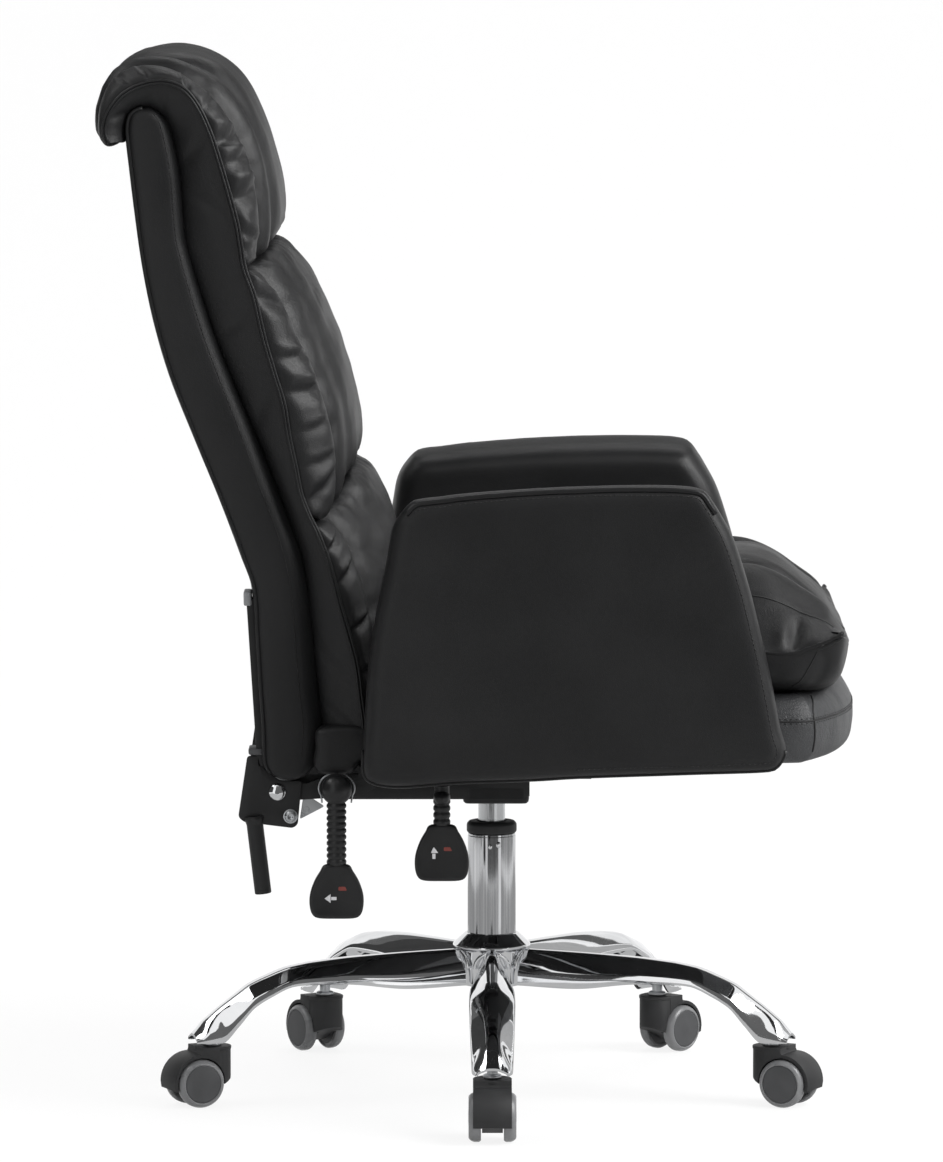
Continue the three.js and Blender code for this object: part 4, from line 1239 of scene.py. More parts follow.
@dataclass
class Castor:
    """One twin-wheel castor, with its trail along X."""

    number: int
    heading: float
    base: StarBase
    trail: float = 20.0
    wheel_radius: float = 25.0
    inner: float = 11.5
    outer: float = 24.5

    def place(self) -> Matrix:
        """Puts the castor's own axes under its leg's tip."""
        turn = self.base.turn(self.number)
        spot = VIEW.foot + Vector((math.cos(turn), math.sin(turn), 0.0)) * self.base.circle * MM
        spin = Matrix.Rotation(math.pi - math.radians(self.heading), 4, "Z")
        return Matrix.Translation(spot) @ spin

    def revolved(self, corners: Sequence[Triple], steps: int) -> Shape:
        """A ring about the wheel's axle, from corners (radius, offset, rounding)."""
        lie = Matrix.Translation(Vector((self.trail, 0.0, self.wheel_radius)) * MM)
        return placed(lathed(corners, steps), lie @ Matrix.Rotation(math.pi / 2, 4, "X"))

    def wheel(self, side: int) -> list[Shape]:
        """The tread and the disc of a wheel; side is 1 towards +Y and -1 towards -Y."""
        rim, a, b = self.wheel_radius, self.inner, self.outer
        tread = [
            (19.6, a, 0), (rim - 1.6, a, 0.5), (rim, a + 1.8, 1.4), (rim, b - 5.6, 2.2),
            (rim - 1.7, b - 2.2, 1.6), (20.6, b - 0.3, 0.9), (19.6, b - 1.1, 0.3), (19.6, a, 0),
        ]
        disc = [
            (3.4, a + 0.2, 0), (19.5, a + 0.2, 0), (19.5, b - 1.3, 0.6), (18.2, b - 0.9, 0.8),
            (9, b - 0.5, 1.5), (4, b - 0.3, 1), (0, b - 0.3, 0),
        ]
        flipped = [[(r, z * -side, c) for r, z, c in corners] for corners in (tread, disc)]
        return [self.revolved(corners, 48) for corners in flipped]

    def stem(self) -> Shape:
        """The plated stem with its flange and a drawn collar above it."""
        corners = [
            (0, 37.5, 0), (5.5, 37.5, 0.6), (5.5, 61.8, 0.2), (9.5, 61.9, 0.6), (9.5, 64.6, 0.9),
            (7.6, 65.6, 0.5), (5.5, 65.7, 0.2), (5.5, 84.5, 0.8), (0, 84.7, 0),
        ]
        return lathed(corners, 32)

    def cap(self) -> Shape:
        """The flat round top of the hood, with a thin lip."""
        corners = [
            (5.9, 58, 0), (19.4, 58, 0.5), (19.6, 60.9, 0.7), (18.9, 61.4, 0.4), (17, 61, 0.4),
            (10.5, 61.2, 0.3), (5.9, 61.3, 0), (5.9, 58, 0),
        ]
        return lathed(corners, 48)

    def build(self) -> None:
        """Makes the stem, hood and wheels."""
        k, place = self.number, self.place()
        stem = placed(self.stem(), place)
        piece_from(stem, f"stem_{k}", Finish.ZINC, "base", f"castor_stem_{k}", crease=35)
        body, node = f"castor_{k}", f"castor_housing_{k}"
        hood, cap = refined(node, 0.9 * MM), placed(self.cap(), place)
        piece_from(hood, f"hood_{k}", Finish.HOOD_PLASTIC, body, node, crease=28)
        piece_from(cap, f"hood_cap_{k}", Finish.HOOD_PLASTIC, body, crease=35)
        dress_node(f"castor_axle_{k}", Finish.ZINC)
        for tag, side in ((f"{k}a", -1), (f"{k}b", 1)):
            tread, disc = (placed(shape, place) for shape in self.wheel(side))
            body, node = f"wheel_{tag}", f"castor_wheel_{tag}"
            piece_from(tread, f"tread_{tag}", Finish.TREAD, body, node)
            piece_from(disc, f"disc_{tag}", Finish.DISC_PLASTIC, body, node, 35, slot="wheel")


@dataclass
class LiftColumn:
    """Outer tube, guide collar and gas cylinder."""

    tube_radius: float = 25.0
    tube_low: float = 111.5
    tube_high: float = 270.5

    def tube(self) -> Shape:
        """The chromed outer tube with a rolled top rim."""
        r, low, high = self.tube_radius, self.tube_low, self.tube_high
        corners = [
            (r - 2.5, low, 0), (r, low, 0.4), (r, high - 3.2, 0.3), (r - 0.3, high - 2.8, 0.2),
            (r - 0.3, high - 0.6, 0.5), (r - 1, high, 0.4), (r - 2.5, high - 0.2, 0.3),
            (r - 2.5, low, 0),
        ]
        return lathed(corners, 96)

    def collar(self) -> Shape:
        """The black guide bush that stands on the tube."""
        low = self.tube_high + 0.3
        corners = [
            (14.4, low - 79, 0), (22.1, low - 79, 0.4), (22.1, low, 0), (25.2, low, 0.4),
            (26, low + 1.4, 0.6), (26, low + 8.6, 1.2), (23.6, low + 11.6, 1), (17, low + 12, 0.6),
            (14.6, low + 10.6, 0.5), (14.4, low - 79, 0),
        ]
        return lathed(corners, 72)

    def dimples(self) -> Shape:
        """Two small swage marks near the tube's top."""
        bm = bmesh.new()
        for angle, height, size in ((176.0, 258.0, 2.2), (196.0, 260.0, 2.6)):
            turn = math.radians(angle)
            out = Vector((math.cos(turn), math.sin(turn), 0.0))
            spot = out * (self.tube_radius - 0.2) * MM + Vector((0.0, 0.0, height * MM))
            shape = Matrix.Rotation(turn, 4, "Z") @ Matrix.Diagonal((0.5, 1.0, 1.25, 1.0))
            place = Matrix.Translation(spot) @ shape
            bmesh.ops.create_uvsphere(
                bm, u_segments=16, v_segments=10, radius=size * MM, matrix=place
            )
        return bm

    def build(self) -> None:
        """Makes the column."""
        shapes = (self.tube(), self.dimples(), self.collar())
        tube, dimples, collar = (placed(shape, Matrix.Translation(VIEW.foot)) for shape in shapes)
        piece_from(tube, "outer_tube", Finish.STREAKED_CHROME_PAINTED_REFLECTION, "base", "column_tube", crease=32)
        piece_from(dimples, "tube_dimples", Finish.CHROME, "base")
        plastic, bush = Finish.HOOD_PLASTIC, "column_guide_bush"
        piece_from(collar, "guide_collar", plastic, "base", bush, crease=32)
        dress_node("gas_cylinder", Finish.SATIN_STEEL)
        dress_node("piston_rod", Finish.ZINC)
        dress_node("thrust_bearing", Finish.ZINC)
        log.info("column: tube, collar and cylinder")


def ringed(outline: Line, profile: Line, place: Place) -> Shape:
    """A wall that follows an outline.

    Args:
        outline: its closed outline in plan.
        profile: (height, inset of the outline) round the wall's section.
        place: the point for an outline point and a height.

    Returns:
        The closed shape.
    """
    count, rings = len(outline), [inset(outline, gap) for _, gap in profile]

    def surface(u: float, v: float) -> Vector:
        k = round(v * len(profile)) % len(profile)
        x, y = rings[k][round(u * count) % count]
        return place(x, y, profile[k][0])

    return wrapped_sheet(count, len(profile), surface)


@dataclass
class Underframe:
    """What carries the seat, and the lock strut below it."""

    lip_top: float = 322.0

    def lip(self, rear: float, front: float, half: float, low: float) -> Shape:
        """A folded steel lip round a rectangle.

        Args:
            rear: the rectangle's rear edge, in millimetres in front of the column.
            front: its front edge.
            half: half its width.
            low: the height of the lip's lower edge.

        Returns:
            The closed lip.
        """
        plan = [(rear, -half), (front, -half), (front, half), (rear, half)]
        high = self.lip_top
        profile = [(high, 0.2), (low + 5, 0), (low + 1.6, 0.6), (low, 2.4), (low, 4.4), (high, 4.4)]
        return ringed(rounded_corners(plan, 9.0), profile, VIEW.plan)

    def build(self) -> None:
        """Eases the pan's edges and dresses the hidden pieces."""
        lips = [self.lip(-30.0, 38.6, 52.6, 306.5), self.lip(-176.0, -22.0, 52.0, 311.0)]
        pan = joined([refined("chassis", 1.2 * MM), *lips])
        piece_from(pan, "chassis_pan", Finish.BLACK_STEEL, "seat", "chassis", crease=30)
        dress_node("seat_board", Finish.LINING)
        dress_node("lock_strut_tube", Finish.BLACK_STEEL)
        dress_node("lock_strut_rod", Finish.ZINC)
        dress_node("back_cross_tube", Finish.BLACK_STEEL)
        log.info("underframe: pan, board and strut")


@dataclass
class ReclineHinge:
    """One side of the recline hinge: plate, upright, stub, bolt and screw."""

    side: Side
    pivot: Point = (-218.0, 338.0)
    plate_low: float = 197.0
    plate_high: float = 201.0
    plate: Line = (
        (25, 11.7), (2.2, 11.7), (-17.4, 27.9), (-18.5, 36.9), (-30.5, 36.9), (-39.8, -25.6),
        (-33.7, -30.9), (-14.4, -33.2), (15.7, -36.9), (20.7, -33.2),
    )

    def at(self, x: float, y: float, offset: float) -> Vector:
        """A point measured from the pivot, with the offset mirrored by side."""
        return VIEW.at(self.pivot[0] + x, self.pivot[1] + y, offset * self.side.value)

    def plate_shape(self) -> Shape:
        """The flat side plate with eased edges."""
        low, high = self.plate_low, self.plate_high
        stations = [(low, 0.7), (low + 0.7, 0), (high - 0.9, 0), (high - 0.2, 0.4), (high, 0.9)]
        return slab(rounded_corners(self.plate, 3.5), stations, self.at, rings=(0.6, 0.2))

    def upright(self) -> Shape:
        """The flat bar that runs up the shell's rear edge."""
        low, high = Vector((-15.9, 30.2)), Vector((-27.0, 207.4))
        run = (high - low).normalized()
        out = Vector((-run.y, run.x))
        length = (high - low).length * 0.94
        foot = low + out * 0.9

        def place(x: float, y: float, offset: float) -> Vector:
            p = foot + run * offset + out * y
            return self.at(p.x, p.y, x)

        corners = [(171.4, -8), (201, -8), (201, 3.8), (171.4, 3.8)]
        stations = [(-4, 0.8), (-3.2, 0), (length - 0.8, 0), (length, 0.8)]
        return slab(rounded_corners(corners, 1.3, 4), stations, place, rings=(0.5,))

    def stub(self) -> Shape:
        """The tube below the plate, with a flared top and an open end."""
        corners = [
            (6.4, -78, 0), (7.9, -78, 0.4), (8.5, -77.2, 0.4), (8.5, -6, 2), (10.2, -1.2, 1),
            (9.6, 1.6, 0.5), (6.4, 1.6, 0.3), (6.4, -78, 0),
        ]
        bm = lathed(corners, 40)
        lean = Matrix.Rotation(math.radians(-6.7), 4, "X")
        spot = self.at(-23.7, -26.4, (self.plate_low + self.plate_high) / 2)
        return placed(bm, Matrix.Translation(spot) @ lean)

    def outward(self, x: float, y: float, offset: float) -> Matrix:
        """Axes at a spot on the plate, with Z pointing out to the chair's side."""
        spin = Matrix.Rotation(-math.pi / 2 * self.side.value, 4, "Y")
        return Matrix.Translation(self.at(x, y, offset)) @ spin

    def bolt(self) -> Shape:
        """The domed pivot bolt with its washer, shank and tail."""
        corners = [
            (0, -17.2, 0), (7.5, -17.2, 1), (7.5, -11.4, 0.8), (5, -11.3, 0.2), (5, 0.3, 0.2),
            (9, 0.3, 0.3), (9, 1.4, 0.4), (8, 3, 1.6), (5, 4.7, 2), (2.4, 5.3, 1), (0, 5.3, 0),
        ]
        return placed(lathed(corners, 48), self.outward(0.0, 0.0, self.plate_high))

    def screw(self) -> Shape:
        """A pan-head screw with a washer and a cross recess."""
        corners = [
            (0, -6, 0), (4, -6, 0.3), (4, 0, 0), (7.4, 0, 0.2), (7.4, 1, 0.4), (6, 1.1, 0.2),
            (5.6, 2.8, 1.2), (3.4, 3.7, 0.8), (2.6, 3.4, 0.3), (0, 1.8, 0),
        ]
        return placed(lathed(corners, 40), self.outward(13.3, -24.7, self.plate_high + 0.05))

    def gusset(self) -> Shape:
        """The pale three-cornered bracket on the ear, with its hole."""
        outline = rounded_corners([(26.5, -2.5), (22.5, -29.3), (47.7, -16.1)], 2.5)
        stations = [(187.4, 0.4), (187.7, 0), (189.4, 0), (189.7, 0.4)]
        plate = slab(outline, stations, self.at, rings=(0.5, 0.2))
        hole = [(2.2, 0), (2.6, 0.25), (3.1, 0.2), (3.3, -0.1), (2.2, -0.1), (2.2, 0)]
        eyelet = lathed([(r, z, 0) for r, z in hole], 24)
        return joined([plate, placed(eyelet, self.outward(29.5, -19.2, 189.8))])

    def cap(self, corners: Line, low: float, high: float) -> Shape:
        """A moulded clip round the upright, drawn in the side view."""
        stations = [(low, 1.2), (low + 0.6, 0.3), (low + 1.6, 0)]
        stations += [(high - 1.6, 0), (high - 0.6, 0.3), (high, 1.2)]
        return slab(rounded_corners(corners, 2.2), stations, self.at, rings=(0.6, 0.2))

    def build(self) -> None:
        """Makes this side of the hinge."""
        word, steel, zinc = self.side.word, Finish.BLACK_STEEL, Finish.ZINC
        parts = [self.plate_shape(), self.upright()]
        if self.side is Side.RIGHT:
            parts.append(self.stub())
        node = f"back_bracket_{word}"
        piece_from(joined(parts), f"bracket_{word}", steel, "back", node, crease=35)
        node = f"pivot_bolt_{word}"
        piece_from(self.bolt(), f"bolt_{word}", Finish.CHROME, "seat", node, crease=50)
        piece_from(self.screw(), f"screw_{word}", zinc, "back", crease=40)
        piece_from(self.gusset(), f"ear_gusset_{word}", zinc, "seat", crease=35)
        collar = self.cap([(-29, 38), (-14, 38), (-14.6, 44.5), (-29.4, 44.5)], 169.5, 202.5)
        piece_from(collar, f"upright_collar_{word}", Finish.DISC_PLASTIC, "back", crease=40)
        corners = [(-33.6, 190), (-25.6, 190), (-25.9, 204.5), (-33.9, 204.5)]
        clip = self.cap(corners, 170.0, 202.4)
        piece_from(clip, f"upright_clip_{word}", Finish.CLIP_PLASTIC, "back", crease=40)
        node = f"hinge_ear_{word}"
        piece_from(refined(node, 0.6 * MM), f"ear_{word}", steel, "seat", node, crease=30)
        log.info("hinge: %s side", word)


class LeverKind(Enum):
    """The two side levers."""

    LIFT = "lift"
    LOCK = "lock"


@dataclass
class Lever:
    """A lever: domed cap, corrugated neck and a flat paddle with two printed marks."""

    kind: LeverKind
    forward: float
    up: float
    neck: float
    boss: float = 1.0
    slim: float = 0.9
    paddle_height: float = 55.0
    offset: float = 235.0
    paddle_width: float = 54.5
    paddle: Line = (
        (-0.2, 0), (-0.31, -0.13), (-0.42, -0.32), (-0.495, -0.55), (-0.5, -0.76), (-0.45, -0.92),
        (-0.33, -0.99), (0, -1), (0.33, -0.99), (0.45, -0.92), (0.5, -0.76), (0.495, -0.55),
        (0.42, -0.32), (0.31, -0.13), (0.2, 0),
    )

    def at(self, x: float, y: float, out: float) -> Vector:
        """A point measured from the cap's middle."""
        return VIEW.at(self.forward + x, self.up + y, self.offset + out)

    def outward(self) -> Matrix:
        """Axes at the cap's middle, with Z pointing out to the right."""
        return Matrix.Translation(self.at(0, 0, 0)) @ Matrix.Rotation(-math.pi / 2, 4, "Y")

    def grip(self) -> Shape:
        """Cap, neck and paddle."""
        cap = [
            (0, -10, 0), (12, -10, 0.8), (13.9, -7.4, 1.6), (14, 0, 2), (12.6, 6.6, 3.5),
            (7.8, 11.2, 3), (2, 13.4, 1.6), (0, 13.4, 0),
        ]
        wide = Matrix.Diagonal((self.boss, self.boss, 1.0, 1.0))
        dome = placed(lathed(cap, 40), self.outward() @ wide)
        ribs, slim = round(self.neck / 6.4), self.slim
        pitch = self.neck / ribs
        points: list[Triple] = [(0, 12, 0), (9.7 * slim, 12, 0)]
        for i in range(ribs):
            for share, radius in ((0.1, 9.7), (0.3, 10.9), (0.55, 11.3), (0.8, 10.9), (0.95, 9.7)):
                points.append((radius * slim, -i * pitch - share * pitch, 0))
        points += [(9.7 * slim, -self.neck, 0), (0, -self.neck, 0)]
        neck = placed(lathed(points, 36), Matrix.Translation(self.at(0, 0, 0)))
        corners = [(x * self.paddle_width, y * self.paddle_height) for x, y in self.paddle]

        def place(x: float, y: float, out: float) -> Vector:
            return self.at(x, y - self.neck, out)

        stations = [(-6, 2.4), (-5.6, 1.2), (-4.6, 0.3), (-3, 0), (3, 0), (4.6, 0.3), (5.6, 1.2)]
        blade = slab(outline_of(corners, 2.4), [*stations, (6, 2.4)], place, crown=-0.9)
        waist = [(10.9, 2, 0), (10.6, -3, 1), (9.4, -12, 2), (6.2, -22, 2), (0, -24, 0)]
        root = lathed([(0, 2, 0), *[(r * slim, z, c) for r, z, c in waist]], 32)
        flat = Matrix.Diagonal((0.62, 1.0, 1.0, 1.0))
        root = placed(root, Matrix.Translation(self.at(0, -self.neck, 0)) @ flat)
        return joined([dome, neck, blade, root])

    def printed(self, corners: Line) -> Shape:
        """A thin printed shape on the paddle's face, drawn from the paddle's middle."""

        def place(x: float, y: float, out: float) -> Vector:
            return self.at(x, y - self.neck - 30.0, out)

        return slab(corners, [(5, 0), (5.32, 0)], place, rings=(0.5,))

    def clip(self) -> Shape:
        """The plated spring wire round the lock lever's cap."""
        path = []
        for k in range(31):
            turn = math.radians(-30 + 240 * k / 30)
            path.append(self.at(18.2 * math.cos(turn), 15.5 * math.sin(turn), -16.0))
        path = [self.at(14.8, -15.0, -14.5), *path, self.at(-14.8, -15.0, -14.5)]
        return swept(evenly(path, 2.0 * MM), 0.9 * MM, sides=10)

    def build(self) -> None:
        """Makes the lever."""
        name, body = self.kind.value, f"{self.kind.value}_lever"
        node = f"{body}_grip"
        piece_from(self.grip(), f"{name}_grip", Finish.GRIP_PLASTIC, body, node, crease=50)
        node = f"{body}_rod"
        piece_from(refined(node, 0.4 * MM), f"{name}_rod", Finish.ZINC, body, node, crease=35)
        lift = self.kind is LeverKind.LIFT
        arrow = [(-8, 2), (-2, 6.5), (-2, -2.5)], [(-1.4, 3.6), (4, 3.6), (4, 0.4), (-1.4, 0.4)]
        shapes = [
            self.printed([(y - 10, -x) if lift else (x - 4, y - 6) for x, y in part])
            for part in arrow
        ]
        piece_from(joined(shapes), f"{name}_mark_white", Finish.WHITE_PRINT, body, smooth=False)
        bar = self.printed(rounded_corners([(2, 4), (10.5, 4), (10.5, 8), (2, 8)], 1.2))
        piece_from(bar, f"{name}_mark_red", Finish.RED_PRINT, body, smooth=False)
        if not lift:
            piece_from(self.clip(), "lock_clip", Finish.ZINC, "seat")
        log.info("lever: %s", name)


# Padded pieces.


def ripples(place: Vector, size: float, seed: float) -> float:
    """Smooth noise between about -1 and 1, with features of a given size in metres."""
    return noise.noise(place / size + Vector((seed, seed * 1.7, -seed)))


def bell(x: float) -> float:
    """A bump of height 1 and width about 1."""
    return math.exp(-x * x)


@dataclass
class Arm:
    """A closed padded arm with a welt and a stitched seam round its outer edge."""

    side: Side
    rear: float = -131.0
    bottom: float = 354.0
    length: float = 427.0
    height: float = 307.0
    inner: float = 237.0
    outer: float = 315.0
    top_fall: float = 9.0
    shares: Line = (
        (0, 0.05), (0.025, 0.014), (0.091, 0.001), (0.226, 0.014), (0.398, 0.024), (0.568, 0.037),
        (0.936, 0.053), (0.978, 0.07), (1, 0.12), (0.985, 0.193), (0.964, 0.346), (0.936, 0.519),
        (0.91, 0.662), (0.875, 0.812), (0.847, 0.89), (0.822, 0.948), (0.787, 0.991), (0.636, 1),
        (0.431, 0.992), (0.254, 0.974), (0.186, 0.962), (0.123, 0.951), (0.1, 0.922), (0.072, 0.86),
        (0.056, 0.737), (0.035, 0.593), (0.014, 0.401), (0.005, 0.219),
    )

    def at(self, x: float, y: float, offset: float) -> Vector:
        """A point of the side view at an offset on this arm's side."""
        return VIEW.at(x, y, offset * self.side.value)

    def outline(self, gap: float = 0.0) -> list[Point]:
        """The arm's outline, moved inwards by a gap."""
        rear, low = self.rear, self.bottom
        corners = [(rear + x * self.length, low + y * self.height) for x, y in self.shares]
        ring = outline_of(corners, 6.0)
        return inset(ring, gap) if gap else ring

    def pad(self) -> Shape:
        """The padded body, whose top falls away towards the seat."""
        a, b = self.inner, self.outer
        stations = [
            (a + 0.6, 24), (a + 2.2, 16), (a + 6, 9.2), (a + 12, 4.4), (a + 20, 1.4), (a + 30, 0),
            (b - 26, 0), (b - 18, 0.5), (b - 11, 2.2), (b - 5.6, 5.6), (b - 2.6, 10), (b - 1.2, 16),
        ]
        bm = slab(self.outline(), stations, self.at, rings=(0.9, 0.7, 0.45, 0.2))
        top = self.bottom + self.height
        for vert in bm.verts:
            _, y, across = VIEW.read(vert.co)
            share = smoothstep((b - 8.0 - abs(across)) / (b - a - 8.0))
            drop = self.top_fall * share * smoothstep((y - top + 60.0) / 60.0)
            vert.co.z -= drop * MM
            lean = 1.6 * smoothstep((y - self.bottom) / self.height)
            vert.co.x += lean * self.side.value * MM * smoothstep((abs(across) - a) / (b - a))
        return bm

    def build(self) -> None:
        """Makes the arm and its seams."""
        word = self.side.word
        pad = piece_from(self.pad(), f"arm_pad_{word}", Finish.LEATHER, "seat", f"arm_{word}")
        evened(pad, 4.6 * MM)
        relaxed(pad, 4)
        for vert in pad.data.vertices:
            slack = ripples(vert.co, 0.11, 3.1) * 0.5 + ripples(vert.co, 0.045, 7.7) * 0.16
            vert.co -= vert.normal * (0.5 + slack) * MM
        subdivided(pad)
        tree = surface_of(pad)
        high, low = self.bottom + 0.9 * self.height, self.bottom + 0.06 * self.height
        welt = cord_on(tree, self.run_of(3.0, self.outer - 6.0, high), 5, 1.0, 2.8, 10)
        piece_from(welt, f"arm_welt_{word}", Finish.PIPING, "seat")
        seam = self.run_of(9.0, self.outer - 1.6, low, front_only=True)
        piece_from(stitches(seam, tree), f"arm_stitches_{word}", Finish.THREAD, "seat")
        piece_from(cord_on(tree, seam, 5, -0.3, 0.6), f"arm_seam_{word}", Finish.THREAD, "seat")
        under = sorted(p for p in self.outline(2.0) if p[1] < self.bottom + 40.0)
        path = [self.at(x, y, self.outer - 16.0) for x, y in under]
        piece_from(cord_on(tree, path, 6, 0.4, 1.8, 8), f"arm_hem_{word}", Finish.PIPING, "seat")
        log.info("arm: %s", word)

    def run_of(
        self, gap: float, offset: float, low: float, front_only: bool = False
    ) -> list[Vector]:
        """The part of the arm's edge above a height, from its rear end to its front end.

        Args:
            gap: the distance inside the outline.
            offset: the offset across the arm.
            low: the lowest height, in millimetres.
            front_only: whether the rear edge is left out.

        Returns:
            The points in order.
        """
        ring = self.outline(gap)
        turn = min(range(len(ring)), key=lambda k: ring[k][1])
        ring = [*ring[turn:], *ring[:turn]]
        if ring[len(ring) // 4][0] > ring[3 * len(ring) // 4][0]:
            ring.reverse()
        rear_top = self.bottom + 0.9 * self.height
        middle = self.rear + self.length / 2
        kept = []
        for x, y in ring:
            floor = rear_top if front_only and x < middle else low
            if y > floor:
                kept.append(self.at(x, y, offset))
        return kept


def evened(obj: Piece, voxel: float) -> None:
    """Rebuilds a closed piece with faces of one size.

    Args:
        obj: the piece; its mesh is replaced.
        voxel: the size of the new faces, in metres.
    """
    remesh = obj.modifiers.new("even", "REMESH")
    remesh.mode = "VOXEL"
    remesh.voxel_size = voxel
    remesh.use_smooth_shade = True
    materials = list(obj.data.materials)
    applied(obj)
    obj.data.materials.clear()
    for material in materials:
        obj.data.materials.append(material)


@dataclass(frozen=True)
class Puff:
    """A short cloth simulation with air inside, which fills a cushion out."""

    voxel: float = 5.5
    pressure: float = 4.0
    cap: float = 24.0
    kept: float = 0.4
    growth: float = 0.03
    stiffness: float = 12.0
    bending: float = 0.8
    quality: int = 4
    mass: float = 0.3
    frames: int = 20

    def fill(self, obj: Piece, hold: Callable[[Vector], float]) -> None:
        """Puffs a closed piece up and keeps the result.

        Args:
            obj: the piece; its mesh is replaced.
            hold: how firmly a point is held, from 0 to 1.
        """
        evened(obj, self.voxel * MM)
        start = [v.co.copy() for v in obj.data.vertices]
        group = obj.vertex_groups.new(name="held")
        for vert in obj.data.vertices:
            weight = hold(vert.co)
            if weight > 0:
                group.add([vert.index], min(1.0, weight), "REPLACE")
        cloth = obj.modifiers.new("puff", "CLOTH")
        settings = cloth.settings
        settings.quality = self.quality
        settings.mass = self.mass
        settings.tension_stiffness = settings.compression_stiffness = self.stiffness
        settings.shear_stiffness = self.stiffness / 2
        settings.bending_stiffness = self.bending
        settings.use_pressure = True
        settings.uniform_pressure_force = self.pressure
        settings.vertex_group_mass = "held"
        settings.shrink_min = -self.growth
        settings.effector_weights.gravity = 0.0
        cloth.collision_settings.use_collision = False
        cloth.point_cache.frame_start = 1
        cloth.point_cache.frame_end = self.frames
        scene = bpy.context.scene
        for step in range(1, self.frames + 1):
            scene.frame_set(step)
        applied(obj)
        far = 0.0
        for before, vert in zip(start, obj.data.vertices):
            travel = vert.co - before
            size = travel.length
            far = max(far, size)
            vert.co = before + travel * self.kept * min(1.0, self.cap * MM / max(size, 1e-9))
        obj.vertex_groups.clear()
        for polygon in obj.data.polygons:
            polygon.use_smooth = True
        scene.frame_set(1)
        log.info("%s: %d points puffed by up to %.1f mm", obj.name, len(start), far / MM)


def refined_once(obj: Piece) -> None:
    """Applies one level of subdivision."""
    subdivided(obj)
    applied(obj)


def relaxed(obj: Piece, passes: int, factor: float = 0.5) -> None:
    """Smooths a piece's mesh a little."""
    bm = bmesh.new()
    bm.from_mesh(obj.data)
    for _ in range(passes):
        bmesh.ops.smooth_vert(
            bm, verts=bm.verts, factor=factor, use_axis_x=True, use_axis_y=True, use_axis_z=True
        )
    bm.to_mesh(obj.data)
    bm.free()


def along_line(line: Line, share: float) -> Vector:
    """The point of a side-view line at a share of its length, as a smooth curve."""
    return curve_through([Vector(p) for p in line], share)


def even_line(points: Line, count: int = 24) -> list[Point]:
    """A side-view line resampled at an even step."""
    route = [Vector((x, y, 0.0)) for x, y in points]
    total = sum((b - a).length for a, b in zip(route, route[1:]))
    made = evenly(route, total / count)
    return [(p.x, p.y) for p in made]


@dataclass(frozen=True)
class Pucker:
    """A fold that runs from the piping (share 0) to the crest (share 1) of a wing.

    Its lower side drops steeply, as leather does where it bulges over a stitch.
    """

    spot: float
    lean: float
    depth: float
    width: float = 0.045

    def dent(self, share: float, v: float) -> float:
        """How deep it is at a place, in millimetres; a bulge counts as negative."""
        near = (v - self.spot - self.lean * share) / (self.width * (1.1 - 0.6 * share))
        reach = smoothstep(share / 0.14) * smoothstep((1.08 - share) / 0.3)
        if near > 0:
            shape = -0.4 * bell((near - 0.42) / 0.42) * smoothstep(near / 0.3)
        else:
            shape = smoothstep(-near / 0.42) * (1 - smoothstep((-near - 0.3) / 1.5))
        return self.depth * reach * shape


KEYS = ("crown", "crest", "piping", "shell")


